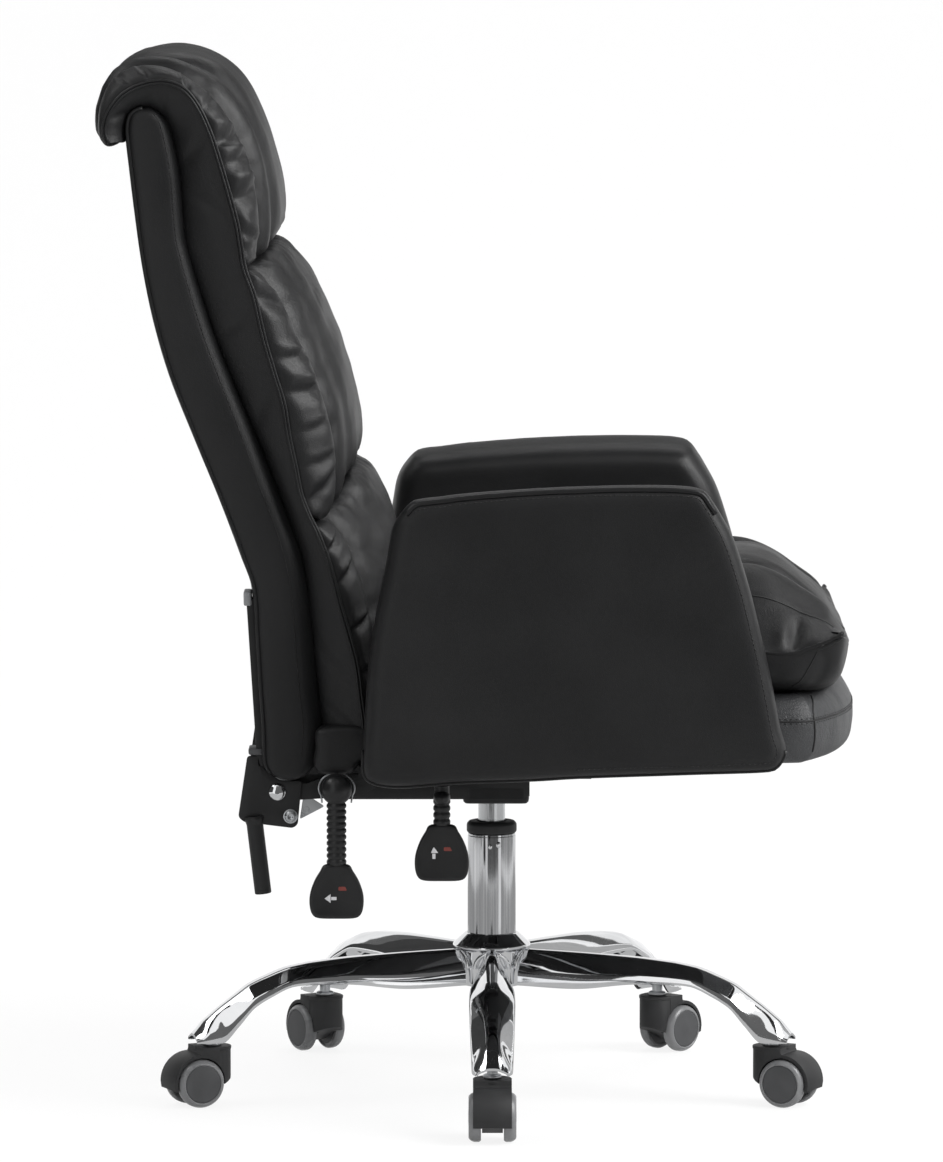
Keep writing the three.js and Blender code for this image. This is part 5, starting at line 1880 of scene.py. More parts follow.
@dataclass
class BackPillow:
    """One of the back's three pillows, from side-view lines that run from its lower crease up.

    The wings, outside the seam valley, end lower than the centre, as their lines say.
    """

    name: str
    crown: Line
    crest: Line
    piping: Line
    shell: Line
    puckers: Sequence[Pucker]
    rows: int = 100
    valley_drop: float = 15.0
    # Offsets of the seam valley and of the side that is sewn down.
    valley_offset: float = 163.0
    sewn_from: float = 213.0
    # Places in the half ring, from 0 to 18, where puckers begin and end and gathers begin.
    pucker_from: float = 6.2
    pucker_to: float = 11.5
    gather_from: float = 9.5
    second_lobe: float = 0.3
    seed: float = 1.0
    lower_gather: float = 1.0
    upper_gather: float = 1.0
    puff: Puff = Puff()
    lines: dict[str, list[Point]] = field(default_factory=dict)

    def __post_init__(self) -> None:
        """Evens the lines out."""
        self.lines = {key: even_line(getattr(self, key)) for key in KEYS}

    def spine(self, key: str, v: float) -> Vector:
        """A line's point at a share of its length, as (forward, up)."""
        return along_line(self.lines[key], v)

    def across(self, v: float) -> list[Vector]:
        """Half a ring at a share of the length: (forward, up, offset), from the back out."""
        crown, crest, piping, shell = (self.spine(key, v) for key in KEYS)
        out = (crest - shell).normalized()
        lobe = self.second_lobe
        valley = crest - out * self.valley_drop + (crown - crest) * 0.1
        ridge = crest.lerp(crown, 0.3) + out * (2.0 + 3.0 * lobe)
        crease = crest.lerp(crown, 0.5) - out * (3.5 * lobe)
        rows = [
            (shell, 0), (shell, 150), (shell, 190), (shell.lerp(piping, 0.12), 203),
            (shell.lerp(piping, 0.5), 210), (shell.lerp(piping, 0.86), 214),
            (piping - out * 1.5, 219.5), (piping.lerp(crest, 0.2) + out * 3.5, 219.5),
            (piping.lerp(crest, 0.5) + out * 5.5, 213), (piping.lerp(crest, 0.84) + out * 3, 202),
            (crest, 189), (crest - out * 3, 176), (valley, self.valley_offset),
            (valley.lerp(ridge, 0.62) + out * 1.5, 151), (ridge, 137), (crease, 118),
            (crown.lerp(crest, 0.22) + out, 98), (crown.lerp(crest, 0.06), 52), (crown, 0),
        ]
        return [Vector((p.x, p.y, c)) for p, c in rows]

    def place(self, u: float, v: float) -> tuple[Vector, float, int]:
        """The plain skin's point, its place in the half ring and its side.

        Args:
            u: the share round the pillow.
            v: the share along it.

        Returns:
            (forward, up, offset) in millimetres, the place from 0 to 18, and 1 or -1.
        """
        half = self.across(v)
        share = 1 - abs(u * 2 - 1)
        return curve_through(half, share), share * (len(half) - 1), 1 if u > 0.5 else -1

    def folds(self, u: float, v: float) -> Vector:
        """How the puckers and gathers move the skin at a place, in millimetres."""
        p, place, side = self.place(u, v)
        crown, shell = self.spine("crown", v), self.spine("shell", v)
        out = (crown - shell).normalized()
        shift = 0.0
        if self.pucker_from < place < self.pucker_to:
            share = (place - self.pucker_from) / 3.8
            spot = v if side > 0 else v * 0.985 + 0.012
            shift -= sum(pucker.dent(share, spot) for pucker in self.puckers)
        if place > self.gather_from:
            gather = bell(v / 0.075) * self.lower_gather + bell((1 - v) / 0.075) * self.upper_gather
            streak = ripples(Vector((p.z * 0.001 * side, self.seed, v * 0.12)), 0.009, self.seed)
            shift += streak * 3.0 * gather
            soft = ripples(Vector((p.z * 0.001 * side, v * 0.5, self.seed)), 0.05, 2.0)
            line = ripples(Vector((p.z * 0.001 * side, v * 0.05, self.seed)), 0.014, 5.0)
            shift += (soft * 1.6 + line * 0.5) * smoothstep((place - self.gather_from) / 1.5)
        return Vector((out.x, out.y)) * shift

    def surface(self, u: float, v: float) -> Vector:
        """The skin with its folds, at a share round it and a share along it."""
        p, _, side = self.place(u, v)
        shift = self.folds(u, v)
        return VIEW.at(p.x + shift.x, p.y + shift.y, p.z * side)

    def plain(self, u: float, v: float) -> Vector:
        """The skin before it is puffed up, a little smaller and without folds."""
        p, place, side = self.place(u, v)
        crown, shell = self.spine("crown", v), self.spine("shell", v)
        out = (crown - shell).normalized()
        small = 3.0 * smoothstep((place - 6.5) / 2.0)
        return VIEW.at(p.x - out.x * small, p.y - out.y * small, p.z * side)

    def skin(self, surface: Surface) -> Shape:
        """The closed pillow over a surface."""
        draws = (0.985, 0.94, 0.85, 0.7, 0.5, 0.3, 0.12)
        return wrapped_sheet(216, self.rows, surface, draws)

    def hold(self, point: Vector) -> float:
        """How firmly the skin is sewn down: at its sides, its valleys and its back."""
        across = abs(VIEW.read(point)[2])
        if across > self.sewn_from:
            return 1.0
        return 0.9 * bell((across - self.valley_offset) / 5.0)

    def folded(self, pillow: Piece) -> None:
        """Presses the puckers and gathers into the puffed skin."""
        samples, across, along = [], 180, 110
        for j in range(along + 1):
            for i in range(across + 1):
                u, v = 0.16 + 0.68 * i / across, j / along
                samples.append((self.plain(u, v), self.folds(u, v)))
        tree = KDTree(len(samples))
        for k, (spot, _) in enumerate(samples):
            tree.insert(spot, k)
        tree.balance()
        for vert in pillow.data.vertices:
            total, shift = 0.0, Vector((0.0, 0.0))
            for _, k, distance in tree.find_n(vert.co, 4):
                weight = 1.0 / (distance + 0.0008)
                total += weight
                shift += samples[k][1] * weight
            shift /= total
            vert.co += Vector((0.0, -shift.x, shift.y)) * MM

    def build(self) -> None:
        """Makes the pillow."""
        shape = self.skin(self.plain)
        pillow = piece_from(shape, f"{self.name}_skin", Finish.PILLOW_LEATHER, "back", self.name)
        self.puff.fill(pillow, self.hold)
        relaxed(pillow, 1)
        refined_once(pillow)
        self.folded(pillow)
        log.info("pillow: %s", self.name)


@dataclass
class Gusset:
    """The boxing strip between the shell and the pillows, with the double piping on its edge."""

    side: Side
    piping: Line = (
        (-131, 392), (-131.5, 412), (-134.5, 435), (-139, 470), (-147, 501), (-156, 533),
        (-166, 572), (-177, 602), (-188, 626), (-195, 646), (-200, 671), (-206.5, 700), (-212, 734),
        (-221.5, 766), (-230.5, 797), (-235.5, 818), (-241.5, 844), (-251, 871), (-254.5, 892),
        (-258.5, 916), (-266, 945), (-275, 976), (-285, 1007), (-297, 1033), (-311, 1050),
        (-329, 1057), (-350, 1054.5), (-369, 1045), (-382, 1030), (-387.5, 1016), (-388, 1006),
        (-384.5, 997),
    )
    shell: Line = (
        (-168, 392), (-168.6, 415), (-171.5, 435), (-174.5, 463), (-177.5, 494.8), (-182, 537),
        (-188.5, 577), (-197, 604), (-207, 631), (-216.5, 655), (-226, 680), (-235.5, 703),
        (-247.5, 732), (-262, 768), (-273, 795), (-280, 815), (-290, 845), (-299, 873),
        (-304.5, 892), (-307, 912), (-308.8, 940), (-311, 964), (-315.5, 988), (-320, 1007),
        (-327, 1021.5), (-336, 1030), (-347, 1034), (-359, 1033.5), (-368, 1027), (-372.5, 1014),
        (-373, 1006), (-372.5, 998),
    )
    creases: Sequence[Triple] = (
        (0.06, -0.05, 1.6), (0.13, -0.06, 2), (0.36, 0.05, 1.2), (0.46, 0.04, 1.4),
        (0.665, -0.045, 2.4), (0.69, 0.02, 1.6), (0.79, 0.02, 1.4), (0.84, -0.02, 1.6),
        (0.9, 0.02, 1.8),
    )
    edge: float = 222.0
    rear_edge: float = 197.0
    widening: float = 24.0
    thickness: float = 3.5

    def lift(self, t: float, v: float) -> float:
        """The strip's offset at a share from the shell to the piping."""
        fall = sum(size * bell((v - spot - lean * t) / 0.011) for spot, lean, size in self.creases)
        soft = ripples(Vector((t * 0.05, v * 0.9, 0.4)), 0.06, 1.0) * 1.3
        bulge = math.sin(math.pi * min(1.0, max(0.0, t)))
        return self.rear_edge + self.widening * t**0.62 + (2.2 + soft - fall) * bulge

    def surface(self, u: float, v: float) -> Vector:
        """The strip's outer face, then its inner one."""
        outer = u <= 0.5
        t = u * 2 if outer else 2 - u * 2
        shell, piping = along_line(self.shell, v), along_line(self.piping, v)
        rear = shell + (shell - piping).normalized() * 5.0
        p = rear.lerp(piping, t)
        offset = self.lift(t, v) - (0.0 if outer else self.thickness)
        return VIEW.at(p.x, p.y, offset * self.side.value)

    def cord(self, forward: float, offset: float) -> Shape:
        """One of the two cords of the piping."""
        path = []
        for k in range(190):
            shell, piping = along_line(self.shell, k / 189), along_line(self.piping, k / 189)
            p = piping + (piping - shell).normalized() * forward
            path.append(VIEW.at(p.x, p.y, offset * self.side.value))
        return swept(evenly(path, 5 * MM), 1.45 * MM, sides=10)

    def build(self) -> None:
        """Makes the strip and its piping."""
        word, shape = self.side.word, wrapped_sheet(56, 420, self.surface)
        strip = piece_from(shape, f"gusset_{word}", Finish.PILLOW_LEATHER, "back")
        cords = joined([self.cord(0.4, self.edge + 0.4), self.cord(3.2, self.edge)])
        piece_from(cords, f"back_piping_{word}", Finish.PIPING, "back")
        log.info("gusset: %s", word)


@dataclass
class PillowSkirt:
    """The leather that hangs from the lower pillow to the seat's rear edge."""

    half: float = 226.0

    def build(self) -> None:
        """Makes the rolled skirt, the tongue behind it and the lining beside the hinge."""
        roll = [
            (-176, 405), (-179, 385), (-181, 370), (-176, 360), (-162, 357.8), (-150, 357.8),
            (-141, 361), (-135, 368), (-125, 373.5), (-116, 380), (-113, 392), (-120, 404),
            (-140, 409),
        ]
        h, edge = self.half, [(0, 6.5), (0.9, 4.2), (2.6, 2.3), (5.5, 0.9), (9.5, 0)]
        ends = [(e - h, inset) for e, inset in edge] + [(h - e, inset) for e, inset in edge[::-1]]
        shapes = [slab(outline_of(roll, 4.0), ends, VIEW.at, rings=(0.6, 0.25))]
        tongue = rounded_corners([(-206, 356.3), (-150, 356.3), (-150, 400), (-190, 400)], 4.0)
        lining = rounded_corners([(-205, 344.5), (-158, 344.5), (-158, 358), (-205, 358)], 2.0)
        for outline, a, b in ((tongue, 24 - h, h - 24), (lining, 60, 184), (lining, -184, -60)):
            shapes.append(slab(outline, [(a, 0), (b, 0)], VIEW.at, rings=(0.5,)))
        shape, node = joined(shapes), "lower_pillow"
        skirt = piece_from(shape, "lower_pillow_skirt", Finish.LEATHER, "back", node)


@dataclass
class BackShell:
    """The upholstered shell behind the pillows."""

    half: float = 215.0
    swell: float = 0.1
    lines: Sequence[list[Point]] = ()
    front: Line = (
        (-203, 350.5), (-190, 353.5), (-176, 365), (-170, 385), (-168, 411.9), (-171, 430),
        (-174, 460.1), (-176.9, 494.8), (-181.9, 540.1), (-190.1, 585.3), (-203.9, 622.3),
        (-216, 653.2), (-235, 702.2), (-262, 767.8), (-277, 806.2), (-290, 846.2), (-301, 883),
        (-306.1, 905), (-309.9, 960), (-314.9, 990.2), (-321, 1012), (-331, 1026), (-345, 1032.5),
    )
    rear: Line = (
        (-203, 350.5), (-217, 352), (-228.5, 358), (-235, 370.5), (-236.5, 405), (-239.1, 444.3),
        (-242, 494.8), (-245, 545.3), (-255, 574.7), (-277.9, 635.8), (-302.9, 696.9), (-327, 758),
        (-343, 813), (-354, 867.3), (-361.9, 923.9), (-368, 975), (-371, 1005), (-369.5, 1022),
        (-360, 1031.5), (-345, 1032.5),
    )

    def __post_init__(self) -> None:
        """Evens the lines out."""
        self.lines = (even_line(self.front, 60), even_line(self.rear, 60))

    def ring(self, v: float) -> tuple[Vector, Vector]:
        """The front and rear points at a share of the shell's height."""
        return along_line(self.lines[0], v), along_line(self.lines[1], v)

    def seam_share(self, v: float) -> float:
        """How far in front of the rear line the side seam runs, as a share of the depth."""
        return 0.66 + 0.14 * smoothstep((v - 0.2) / 0.5)

    def surface(self, u: float, v: float) -> Vector:
        """The shell's skin: a rounded box section between its front and rear lines."""
        front, rear = self.ring(v)
        middle, reach = (front + rear) / 2, (front - rear) / 2
        turn = math.tau * u
        across = math.copysign(abs(math.sin(turn)) ** 0.2, math.sin(turn))
        power = 0.2 if math.cos(turn) < 0 else 0.24
        deep = math.copysign(abs(math.cos(turn)) ** power, math.cos(turn))
        depth = max(reach.length, 0.001)
        tuck = 1.0 - 0.035 * (1 - smoothstep(depth / 24.0))
        p = middle + reach * deep
        soft = ripples(Vector((deep * 0.03, p.y * MM, across * 0.2)), 0.09, 5.0) * 0.7
        if deep < self.swell:
            fall = 4.0 * ((self.swell - deep) / (1 + self.swell)) ** 2
        else:
            fall = 14.0 * ((deep - self.swell) / (1 - self.swell)) ** 2.2
        side = across * (self.half * tuck - 0.7 + (soft - fall) * abs(across) ** 8)
        return VIEW.at(p.x, p.y, side)

    def run_of(
        self, low: float, length: float, share: Callable[[float], float], offset: float
    ) -> list[Vector]:
        """A line up the shell's side.

        Args:
            low: the share of the height where it begins.
            length: the share of the height that it covers.
            share: the way from the rear line to the front one, for a share of the height.
            offset: the line's offset to the chair's right, in millimetres.

        Returns:
            The points from the lowest up.
        """
        path = []
        for k in range(90):
            v = low + length * k / 89
            front, rear = self.ring(v)
            p = rear.lerp(front, share(v))
            path.append(VIEW.at(p.x, p.y, offset))
        return path

    def build(self) -> None:
        """Makes the shell, its seams and its rear piping."""
        shape = wrapped_sheet(240, 150, self.surface)
        shell = piece_from(shape, "shell_skin", Finish.LEATHER, "back", "back_shell")
        tree = surface_of(shell)
        for side in Side:
            word, s = side.word, side.value
            path = self.run_of(0.035, 0.955, lambda v: 0.045, (self.half - 5.5) * s)
            welt = cord_on(tree, path, 5, 0.5, 2.2, 10, late=True)
            piece_from(welt, f"shell_piping_{word}", Finish.PIPING, "back")
            path = self.run_of(0.06, 0.925, self.seam_share, (self.half + 1.0) * s)
            piece_from(stitches(path, tree), f"shell_stitches_{word}", Finish.THREAD, "back")
            groove = cord_on(tree, path, 5, -0.2, 0.6)
            piece_from(groove, f"shell_seam_{word}", Finish.THREAD, "back")
        log.info("shell: skin, seams and piping")


@dataclass
class SeatCushion:
    """The overstuffed seat cushion with its piping."""

    lines: Sequence[list[Point]] = ()
    half: float = 234.0
    bow: float = 13.0
    bow_power: float = 2.6
    # Shares of the half width where the long valley and the side seam run.
    valley: float = 0.445
    side_seam: float = 0.775
    # Shares of the length where the front edge begins to rise and where the puckers lie.
    upturn: float = 0.84
    puckers: Sequence[float] = (0.808, 0.848, 0.885)
    top: Line = (
        (-66, 500), (-62, 512), (-50, 526), (-30, 541), (20, 551), (90, 556), (160, 563),
        (220, 569), (262, 571), (285, 566), (305, 554.5), (325, 538), (345, 520), (357, 502),
        (366, 491), (369.5, 486.5),
    )
    under: Line = (
        (-66, 470), (-66, 455), (-58, 441), (-35, 436.4), (20, 436.2), (100, 436.2), (180, 436.2),
        (250, 436.2), (300, 436.2), (330, 436.4), (346, 438.5), (355, 443), (361, 451),
        (365.5, 463), (368.5, 476), (369.5, 486.5),
    )
    # Half the width, from the middle out: share of the half width, share of the rise.
    profile: Line = (
        (0, 1), (0.12, 0.995), (0.24, 0.975), (0.34, 0.93), (0.41, 0.87), (0.445, 0.84),
        (0.48, 0.87), (0.56, 0.9), (0.65, 0.84), (0.74, 0.68), (0.775, 0.6), (0.83, 0.46),
        (0.91, 0.26), (0.975, 0.09), (1, 0),
    )

    def __post_init__(self) -> None:
        """Evens the lines out."""
        self.lines = (even_line(self.top, 40), even_line(self.under, 40))

    def setback(self, along: float, across: float) -> float:
        """How far the bowed front lies behind its middle, in millimetres."""
        grow = smoothstep((along - 0.35) / 0.6)
        pinch = 6.0 * bell((abs(across) - self.valley) / 0.1)
        pinch *= smoothstep((along - self.upturn) / 0.14)
        return self.bow * grow * (0.15 + 0.85 * abs(across) ** self.bow_power) + pinch

    def piping_height(self, along: float, across: float) -> float:
        """The height of the piping at the side."""
        sag = 2.0 * bell((along - 0.8) / 0.06) * abs(across)
        return 485.0 - sag + 3.0 * bell((along - 0.3) / 0.25)

    def tips(self, along: float, across: float) -> float:
        """How far the front edge is drawn up, at its corners and where the valleys end."""
        a = abs(across)
        ramp = max(0.0, (along - 0.845) / 0.155) ** 1.15
        rise = 9.0 * bell((a - self.valley) / 0.11) - 4.0 * bell(a / 0.22)
        return rise * smoothstep((along - self.upturn) / 0.15) + 19.0 * bell((a - 1.0) / 0.3) * ramp

    def over(self, turn: float, v: float, top: Vector) -> Triple:
        """The top's (share across, height, forward) for a turn of -1 to 1 from side to side."""
        share = curve_through([Vector(p) for p in self.profile], abs(turn))
        across, side = share.x, 1 if turn >= 0 else -1
        seam = min(self.piping_height(v, across), top.y)
        rise = top.y - seam
        z = seam + rise * share.y
        front = smoothstep((v - 0.45) / 0.35) * (1 - smoothstep((v - 0.93) / 0.07))
        valley = bell((across - self.valley) / 0.045) * smoothstep((1 - v) / 0.05)
        z -= (3.0 + 15.0 * front) * valley
        z += 4.0 * front * bell((across - 0.58) / 0.09)
        place = Vector((across * side * 0.234, v * 0.5, 0.3))
        z += ripples(place, 0.055, 4.0) * 2.2 * smoothstep(rise / 30.0)
        fold = ripples(Vector((across * side * 0.22, v * 0.16, 1.3)), 0.02, 9.0)
        z += fold * 1.9 * front * smoothstep(rise / 14.0)
        if across > 0.76:
            t = (across - 0.76) / 0.24
            rear, middle, fore = self.puckers
            pucker = bell((v - middle + 0.02 * t) / 0.019) - 0.25 * bell((v - fore) / 0.026)
            pucker -= 0.45 * bell((v - rear) / 0.024)
            z -= 7.5 * pucker * smoothstep((t - 0.15) / 0.5) * smoothstep((1 - t) / 0.12)
            z -= 3.5 * bell((v - 0.62 + 0.03 * t) / 0.03) * math.sin(math.pi * min(1.0, t))
        return across, z, top.x

    def beneath(
        self, turn: float, v: float, top: Vector, under: Vector
    ) -> tuple[float, float, float, float]:
        """The same for the band and the underside, with the share of the band's height."""
        arc, side = math.pi / 2 * abs(turn), 1 if turn >= 0 else -1
        across = min(1.0, math.sin(arc) ** 0.32) if abs(turn) > 0 else 0.0
        lift = 1.0 - (math.cos(arc) ** 0.42 if abs(turn) < 1 else 0.0)
        arch = math.sin(math.pi * min(1.0, lift))
        z = under.y + (min(self.piping_height(v, across), top.y) - under.y) * lift
        across += arch * 2.2 / self.half * (1 if across > 0.9 else 0)
        across = min(across, 1.004)
        wave = ripples(Vector((side * 0.1, v * 0.5, lift * 0.05)), 0.04, 6.0)
        across -= abs(wave) * 0.012 * arch
        across *= 1 - 0.17 * smoothstep((v - 0.8) / 0.2) * (1 - lift)
        if abs(turn) > 0.5:
            across -= 0.016 * bell((v - 0.84 - 0.085 * lift) / 0.011) * arch
        return across, z, under.x + (top.x - under.x) * lift**3, lift

    def surface(self, u: float, v: float) -> Vector:
        """The cushion's skin: u runs over the top from side to side, then back beneath."""
        top, under = along_line(self.lines[0], v), along_line(self.lines[1], v)
        turn, follow = u * 4 - 1, 1.0
        if u <= 0.5:
            across, z, flow = self.over(turn, v, top)
        else:
            turn = 3 - u * 4
            across, z, flow, lift = self.beneath(turn, v, top, under)
            follow = lift**2 + (1 - lift**2) * smoothstep((v - 0.925) / 0.07)
        z += self.tips(v, min(1.0, across)) * follow
        width = self.half - 1.0 - 6.0 * (1 - smoothstep(v / 0.08))
        side = 1 if turn >= 0 else -1
        return VIEW.at(flow - self.setback(v, across), z, across * side * width)

    def build(self) -> None:
        """Makes the cushion, its piping and its seams."""
        shape = wrapped_sheet(220, 150, self.surface, (0.9, 0.6, 0.3))
        name, node = "seat_cushion_skin", "seat_cushion"
        skin = piece_from(shape, name, Finish.PILLOW_LEATHER, "seat", node)
        relaxed(skin, 2)
        subdivided(skin)
        tree = surface_of(skin)
        path = [self.surface(0.0, 0.02 + 0.98 * k / 139) for k in range(140)]
        other = [Vector((2 * VIEW.foot.x - p.x, p.y, p.z)) for p in reversed(path)]
        front, tip = [], Vector(self.top[-1])
        for k in range(1, 60):
            share = 1 - 2 * k / 60
            up = min(tip.y, self.piping_height(1.0, share)) + self.tips(1.0, share)
            front.append(VIEW.at(tip.x - self.setback(1.0, share), up, share * self.half))
        front.sort(key=lambda p: (p.x - path[-1].x) ** 2)
        route = [*path, *front[1:-1], *other]
        spots, _ = laid_on(evenly(route, 4 * MM), tree, 1.2 * MM)
        lower = [p - Vector((0.0, 0.0, 3.6 * MM)) for p in spots]
        cord = joined([swept(spots, 2.1 * MM, sides=10), swept(lower, 1.8 * MM, sides=10)])
        piece_from(cord, "seat_cushion_piping", Finish.PIPING, "seat")
        for side in Side:
            word, s = side.word, side.value
            seam = [self.seam_point(0.4 + 0.55 * k / 59, side) for k in range(60)]
            groove = cord_on(tree, seam, 4, -0.1, 0.8)
            piece_from(groove, f"seat_side_seam_{word}", Finish.THREAD, "seat")
            shares = [k / 23 for k in range(24)]
            drop = [VIEW.at(334 - 31 * t, 492 - 54 * t, (236 - 6 * t) * s) for t in shares]
            groove = cord_on(tree, drop, 4, -0.1, 0.7, late=True)
            piece_from(groove, f"seat_band_seam_{word}", Finish.THREAD, "seat")
        log.info("seat cushion")

    def seam_point(self, v: float, side: Side) -> Vector:
        """The point of a side seam at a share of the length."""
        top, across = along_line(self.lines[0], v), self.side_seam
        a, b = next(p for p in zip(self.profile, self.profile[1:]) if across <= p[1][0])
        rise = a[1] + (b[1] - a[1]) * ((across - a[0]) / (b[0] - a[0]))
        seam = min(self.piping_height(v, across), top.y)
        z = seam + (top.y - seam) * rise + self.tips(v, across)
        return VIEW.at(top.x - self.setback(v, across), z, across * self.half * side.value)


@dataclass
class SeatPad:
    """The thick pad under the seat cushion."""

    rear: float = -95.0
    front: float = 374.0
    half: float = 234.0
    low: float = 368.5
    high: float = 435.2
    bow: float = 50.0
    # Height above the foot and inset of the outline, from the foot up to the top.
    stations: Line = (
        (0, 26), (1.2, 17), (4, 10), (9, 5), (17, 1.6), (26, 0.3), (35, 0), (42, 0.4), (46, 1),
        (50, 2.2), (56, 5.4), (63, 9.5), (69.5, 16), (73.5, 25),
    )

    def outline(self) -> list[Point]:
        """The plan outline as (forward, offset)."""
        shares = [k / 20 for k in range(-20, 21)]
        bows = [(self.front - self.bow * abs(s) ** 2.8, s * self.half * 0.97) for s in shares]
        side = [(300, 1), (240, 1), (150, 1), (50, 1), (-40, 1), (-80, 0.995)]
        right = [(x, self.half * s) for x, s in side]
        back = [(self.rear, self.half * 0.95), (self.rear, 0), (self.rear, -self.half * 0.95)]
        return outline_of([*bows, *right, *back, *[(x, -y) for x, y in reversed(right)]], 6.0)

    def ring(self, rise: float) -> list[Vector]:
        """The outline at a height above the foot, without its rear."""
        ring = [VIEW.at(x, self.low + rise, y) for x, y in self.outline() if x > -80]
        start = 0
        for k in range(len(ring)):
            if (ring[k] - ring[k - 1]).length > 0.05:
                start = k
        return [*ring[start:], *ring[:start]]

    def build(self) -> None:
        """Makes the pad and its seams."""
        low, high = self.low, self.high
        stations = [*((low + rise, gap) for rise, gap in self.stations), (high + 4, 36)]
        rings = (0.96, 0.88, 0.75, 0.55, 0.3, 0.1)
        bm = slab(self.outline(), stations, VIEW.plan, crown=-3.0, rings=rings)
        bm.normal_update()
        for vert in bm.verts:
            side = smoothstep((vert.co.z - low * MM) / 0.02)
            lump = ripples(vert.co, 0.03, 1.0) * 1.1 + ripples(vert.co, 0.011, 2.0) * 0.5
            vert.co -= vert.normal * (1.0 + lump) * side * MM * 0.8
        pad = piece_from(bm, "seat_pad_skin", Finish.PAD_LEATHER, "seat", "seat_pad")
        subdivided(pad)
        tree = surface_of(pad)
        for name, rise in (("upper", 48.0), ("lower", 43.0)):
            row = stitches(evenly(self.ring(rise), 6 * MM), tree, pitch=0.0058)
            piece_from(row, f"pad_stitches_{name}", Finish.THREAD, "seat")
        seam = cord_on(tree, self.ring(45.5), 6, -0.1, 1.0)
        piece_from(seam, "pad_seam", Finish.THREAD, "seat")
        for side in Side:
            word, s = side.word, side.value
            drop = [VIEW.at(347.0, high - 6 - 58.0 * k / 20, 236.0 * s) for k in range(21)]
            groove = cord_on(tree, drop, 3, 0.1, 1.1, reach=0.06, late=True)
            piece_from(groove, f"pad_corner_seam_{word}", Finish.THREAD, "seat")
            shares = [k / 4 for k in range(5)]
            dart = [VIEW.at(328 + 19 * t, high + 8 - 17 * t, (200 + 36 * t) * s) for t in shares]
            groove = cord_on(tree, dart, 3, 0.1, 1.0, reach=0.06)
            piece_from(groove, f"pad_dart_{word}", Finish.THREAD, "seat")
        log.info("seat pad")


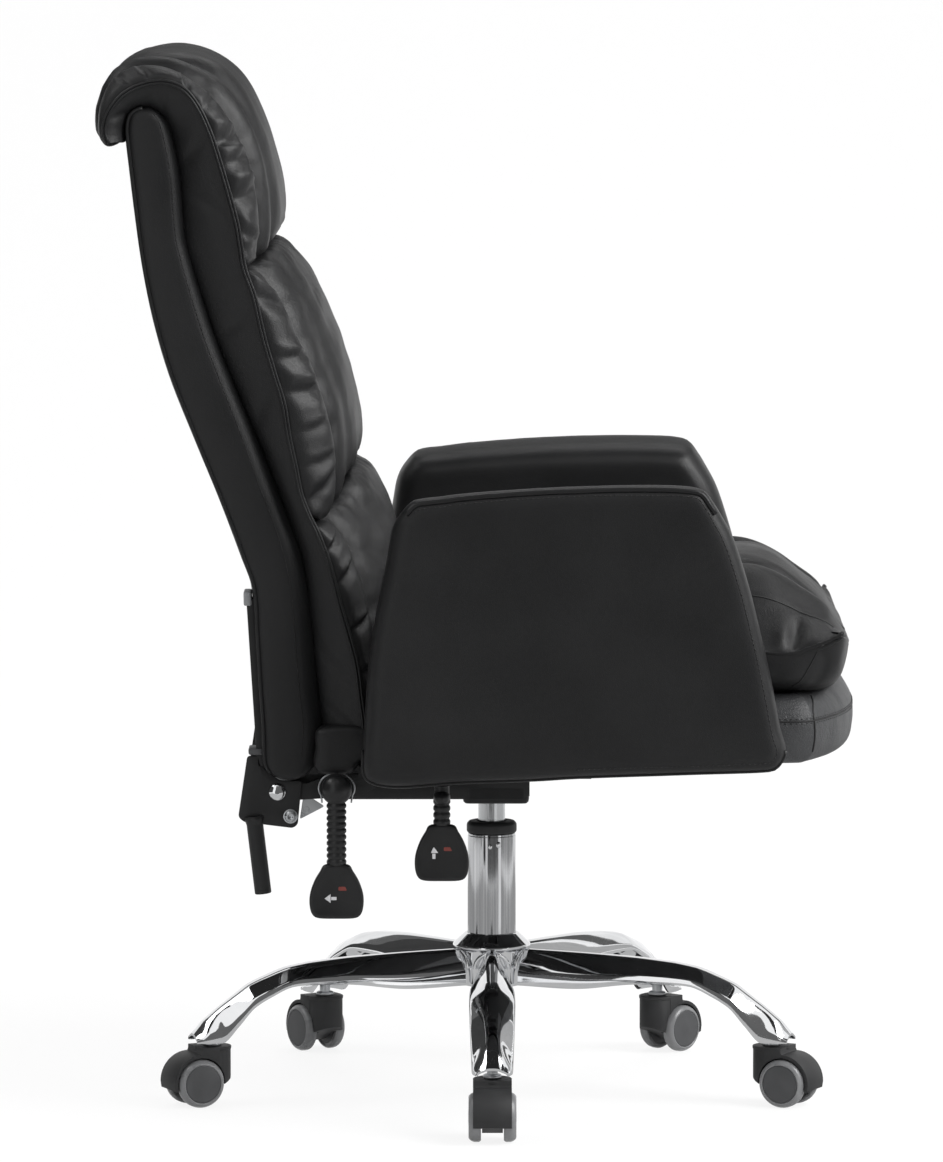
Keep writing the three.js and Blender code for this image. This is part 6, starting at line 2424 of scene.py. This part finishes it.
def back_pillows() -> list[BackPillow]:
    """The three pillows, from the lowest up."""
    lower = BackPillow(
        name="lower_pillow",
        crown=(
            (-137, 414), (-108, 422), (-90, 437), (-81, 461), (-83, 497), (-88, 541), (-96, 580),
            (-103, 604), (-113, 630), (-124, 650), (-136, 660), (-143, 663),
        ),
        crest=(
            (-150, 412), (-128, 422), (-118, 440), (-115, 470), (-119, 505), (-126, 540),
            (-134, 566), (-142, 586), (-150, 601), (-160, 611), (-166, 614),
        ),
        piping=(
            (-150, 407), (-139, 414), (-134.5, 435), (-138, 470), (-147, 501), (-156, 533),
            (-166, 572), (-176, 602), (-180, 612),
        ),
        shell=(
            (-168.6, 412), (-171.5, 430), (-174.5, 460.1), (-177.5, 494.8), (-182.5, 540.1),
            (-190.5, 585.3), (-200, 612), (-212, 640),
        ),
        puckers=(
            Pucker(0.3, 0.04, 3), Pucker(0.5, 0.06, 4), Pucker(0.72, 0.1, 5, 0.06),
            Pucker(0.88, 0.08, 5),
        ),
        seed=1.3,
        upper_gather=1.6,
        lower_gather=0.4,
    )
    middle = BackPillow(
        name="middle_pillow",
        crown=(
            (-147, 668), (-139, 671), (-137.5, 680), (-137.5, 694), (-138, 710), (-141, 725),
            (-149, 756.5), (-160, 788), (-172, 819), (-186, 850), (-195, 865), (-205, 881),
            (-214, 889.5), (-222, 891.5),
        ),
        crest=(
            (-176, 617), (-166, 618), (-159, 632), (-156, 652), (-156.5, 685), (-160, 710),
            (-170, 743.5), (-181, 774), (-197, 809), (-208.5, 835), (-220, 850), (-230, 864),
            (-240, 870.5),
        ),
        piping=(
            (-180, 617), (-189, 626), (-195, 644), (-199, 670), (-207, 699), (-211, 734),
            (-222, 765), (-232, 799), (-235, 814), (-241, 842), (-250, 869),
        ),
        shell=(
            (-206, 627), (-217, 655), (-226.5, 680.3), (-235.5, 702.2), (-247.5, 730.1),
            (-262.5, 767.8), (-277.5, 806.2), (-290.5, 846.2), (-297, 869),
        ),
        puckers=(
            Pucker(0.1, 0.14, 5, 0.06), Pucker(0.24, 0.05, 3, 0.04), Pucker(0.37, 0.04, 3, 0.04),
            Pucker(0.56, -0.03, 6.5, 0.075), Pucker(0.68, -0.03, 4, 0.05),
            Pucker(0.97, -0.12, 7, 0.09),
        ),
        seed=2.1,
    )
    head = BackPillow(
        name="head_pillow",
        crown=(
            (-222, 893), (-215.5, 895.5), (-213, 903), (-212, 914), (-214, 928), (-216, 943),
            (-219, 958.5), (-223.5, 974), (-232, 1005), (-244, 1036), (-252, 1052), (-264, 1067),
            (-281, 1081), (-305, 1089), (-330, 1090.5), (-355, 1086.5), (-378, 1074), (-394, 1055),
            (-401.5, 1032), (-402, 1015), (-400.5, 1002), (-395.5, 993.5), (-387, 989.5),
        ),
        crest=(
            (-248, 871.5), (-241, 872.5), (-235.5, 884), (-233.5, 905), (-234, 929), (-238, 961),
            (-244, 983), (-257, 1010), (-267, 1027), (-280, 1044.5), (-292, 1054), (-307.5, 1064.5),
            (-327, 1074), (-352, 1077), (-373, 1071), (-388, 1057), (-396, 1036), (-398, 1015),
            (-396.5, 1003), (-392, 994.5), (-386, 990.5),
        ),
        piping=(
            (-252, 872), (-255, 890), (-258, 916), (-266, 944), (-275, 975), (-285, 1007),
            (-298, 1033), (-310, 1050), (-329, 1057), (-350, 1054.5), (-369, 1045), (-383, 1031),
            (-388, 1018), (-388.5, 1005), (-387, 996), (-383.5, 991.5),
        ),
        shell=(
            (-299, 872), (-305.5, 892.9), (-306.8, 905), (-308.6, 929.9), (-310.6, 960),
            (-315.6, 990.2), (-321, 1013), (-331.5, 1027.5), (-345, 1033.6), (-360, 1033),
            (-370.8, 1023), (-372.2, 1010), (-372.5, 1001), (-375, 995), (-379.5, 992),
        ),
        puckers=(
            Pucker(0.08, 0, 3.5, 0.035), Pucker(0.145, -0.05, 4.5, 0.04),
            Pucker(0.255, -0.012, 8.5, 0.06), Pucker(0.36, -0.03, 5.5, 0.05),
            Pucker(0.444, -0.057, 8, 0.05), Pucker(0.53, -0.03, 3, 0.03),
            Pucker(0.595, 0, 4, 0.022), Pucker(0.715, 0.01, 3.5, 0.018),
            Pucker(0.77, 0.02, 3, 0.018),
        ),
        second_lobe=1.0,
        rows=150,
        seed=3.7,
        upper_gather=0.3,
    )
    return [lower, middle, head]


def main() -> None:
    """Builds the chair's looks, piece by piece."""
    logging.basicConfig(level=logging.INFO, format="%(name)s: %(message)s")
    Studio().build()
    base = StarBase()
    base.build()
    for number, heading in enumerate((0.0, 65.0, 149.0, -137.0, -63.5), start=1):
        Castor(number, heading, base).build()
    log.info("castors: 5")
    LiftColumn().build()
    Underframe().build()
    for side in Side:
        ReclineHinge(side).build()
    Lever(LeverKind.LIFT, -51.0, 337.0, 28.0, boss=0.62, slim=0.78, paddle_height=57.0).build()
    Lever(LeverKind.LOCK, -157.5, 344.6, 76.0, boss=1.12).build()
    SeatPad().build()
    SeatCushion().build()
    BackShell().build()
    for pillow in back_pillows():
        pillow.build()
    PillowSkirt().build()
    for side in Side:
        Gusset(side).build()
        Arm(side).build()


if __name__ == "__main__":
    main()
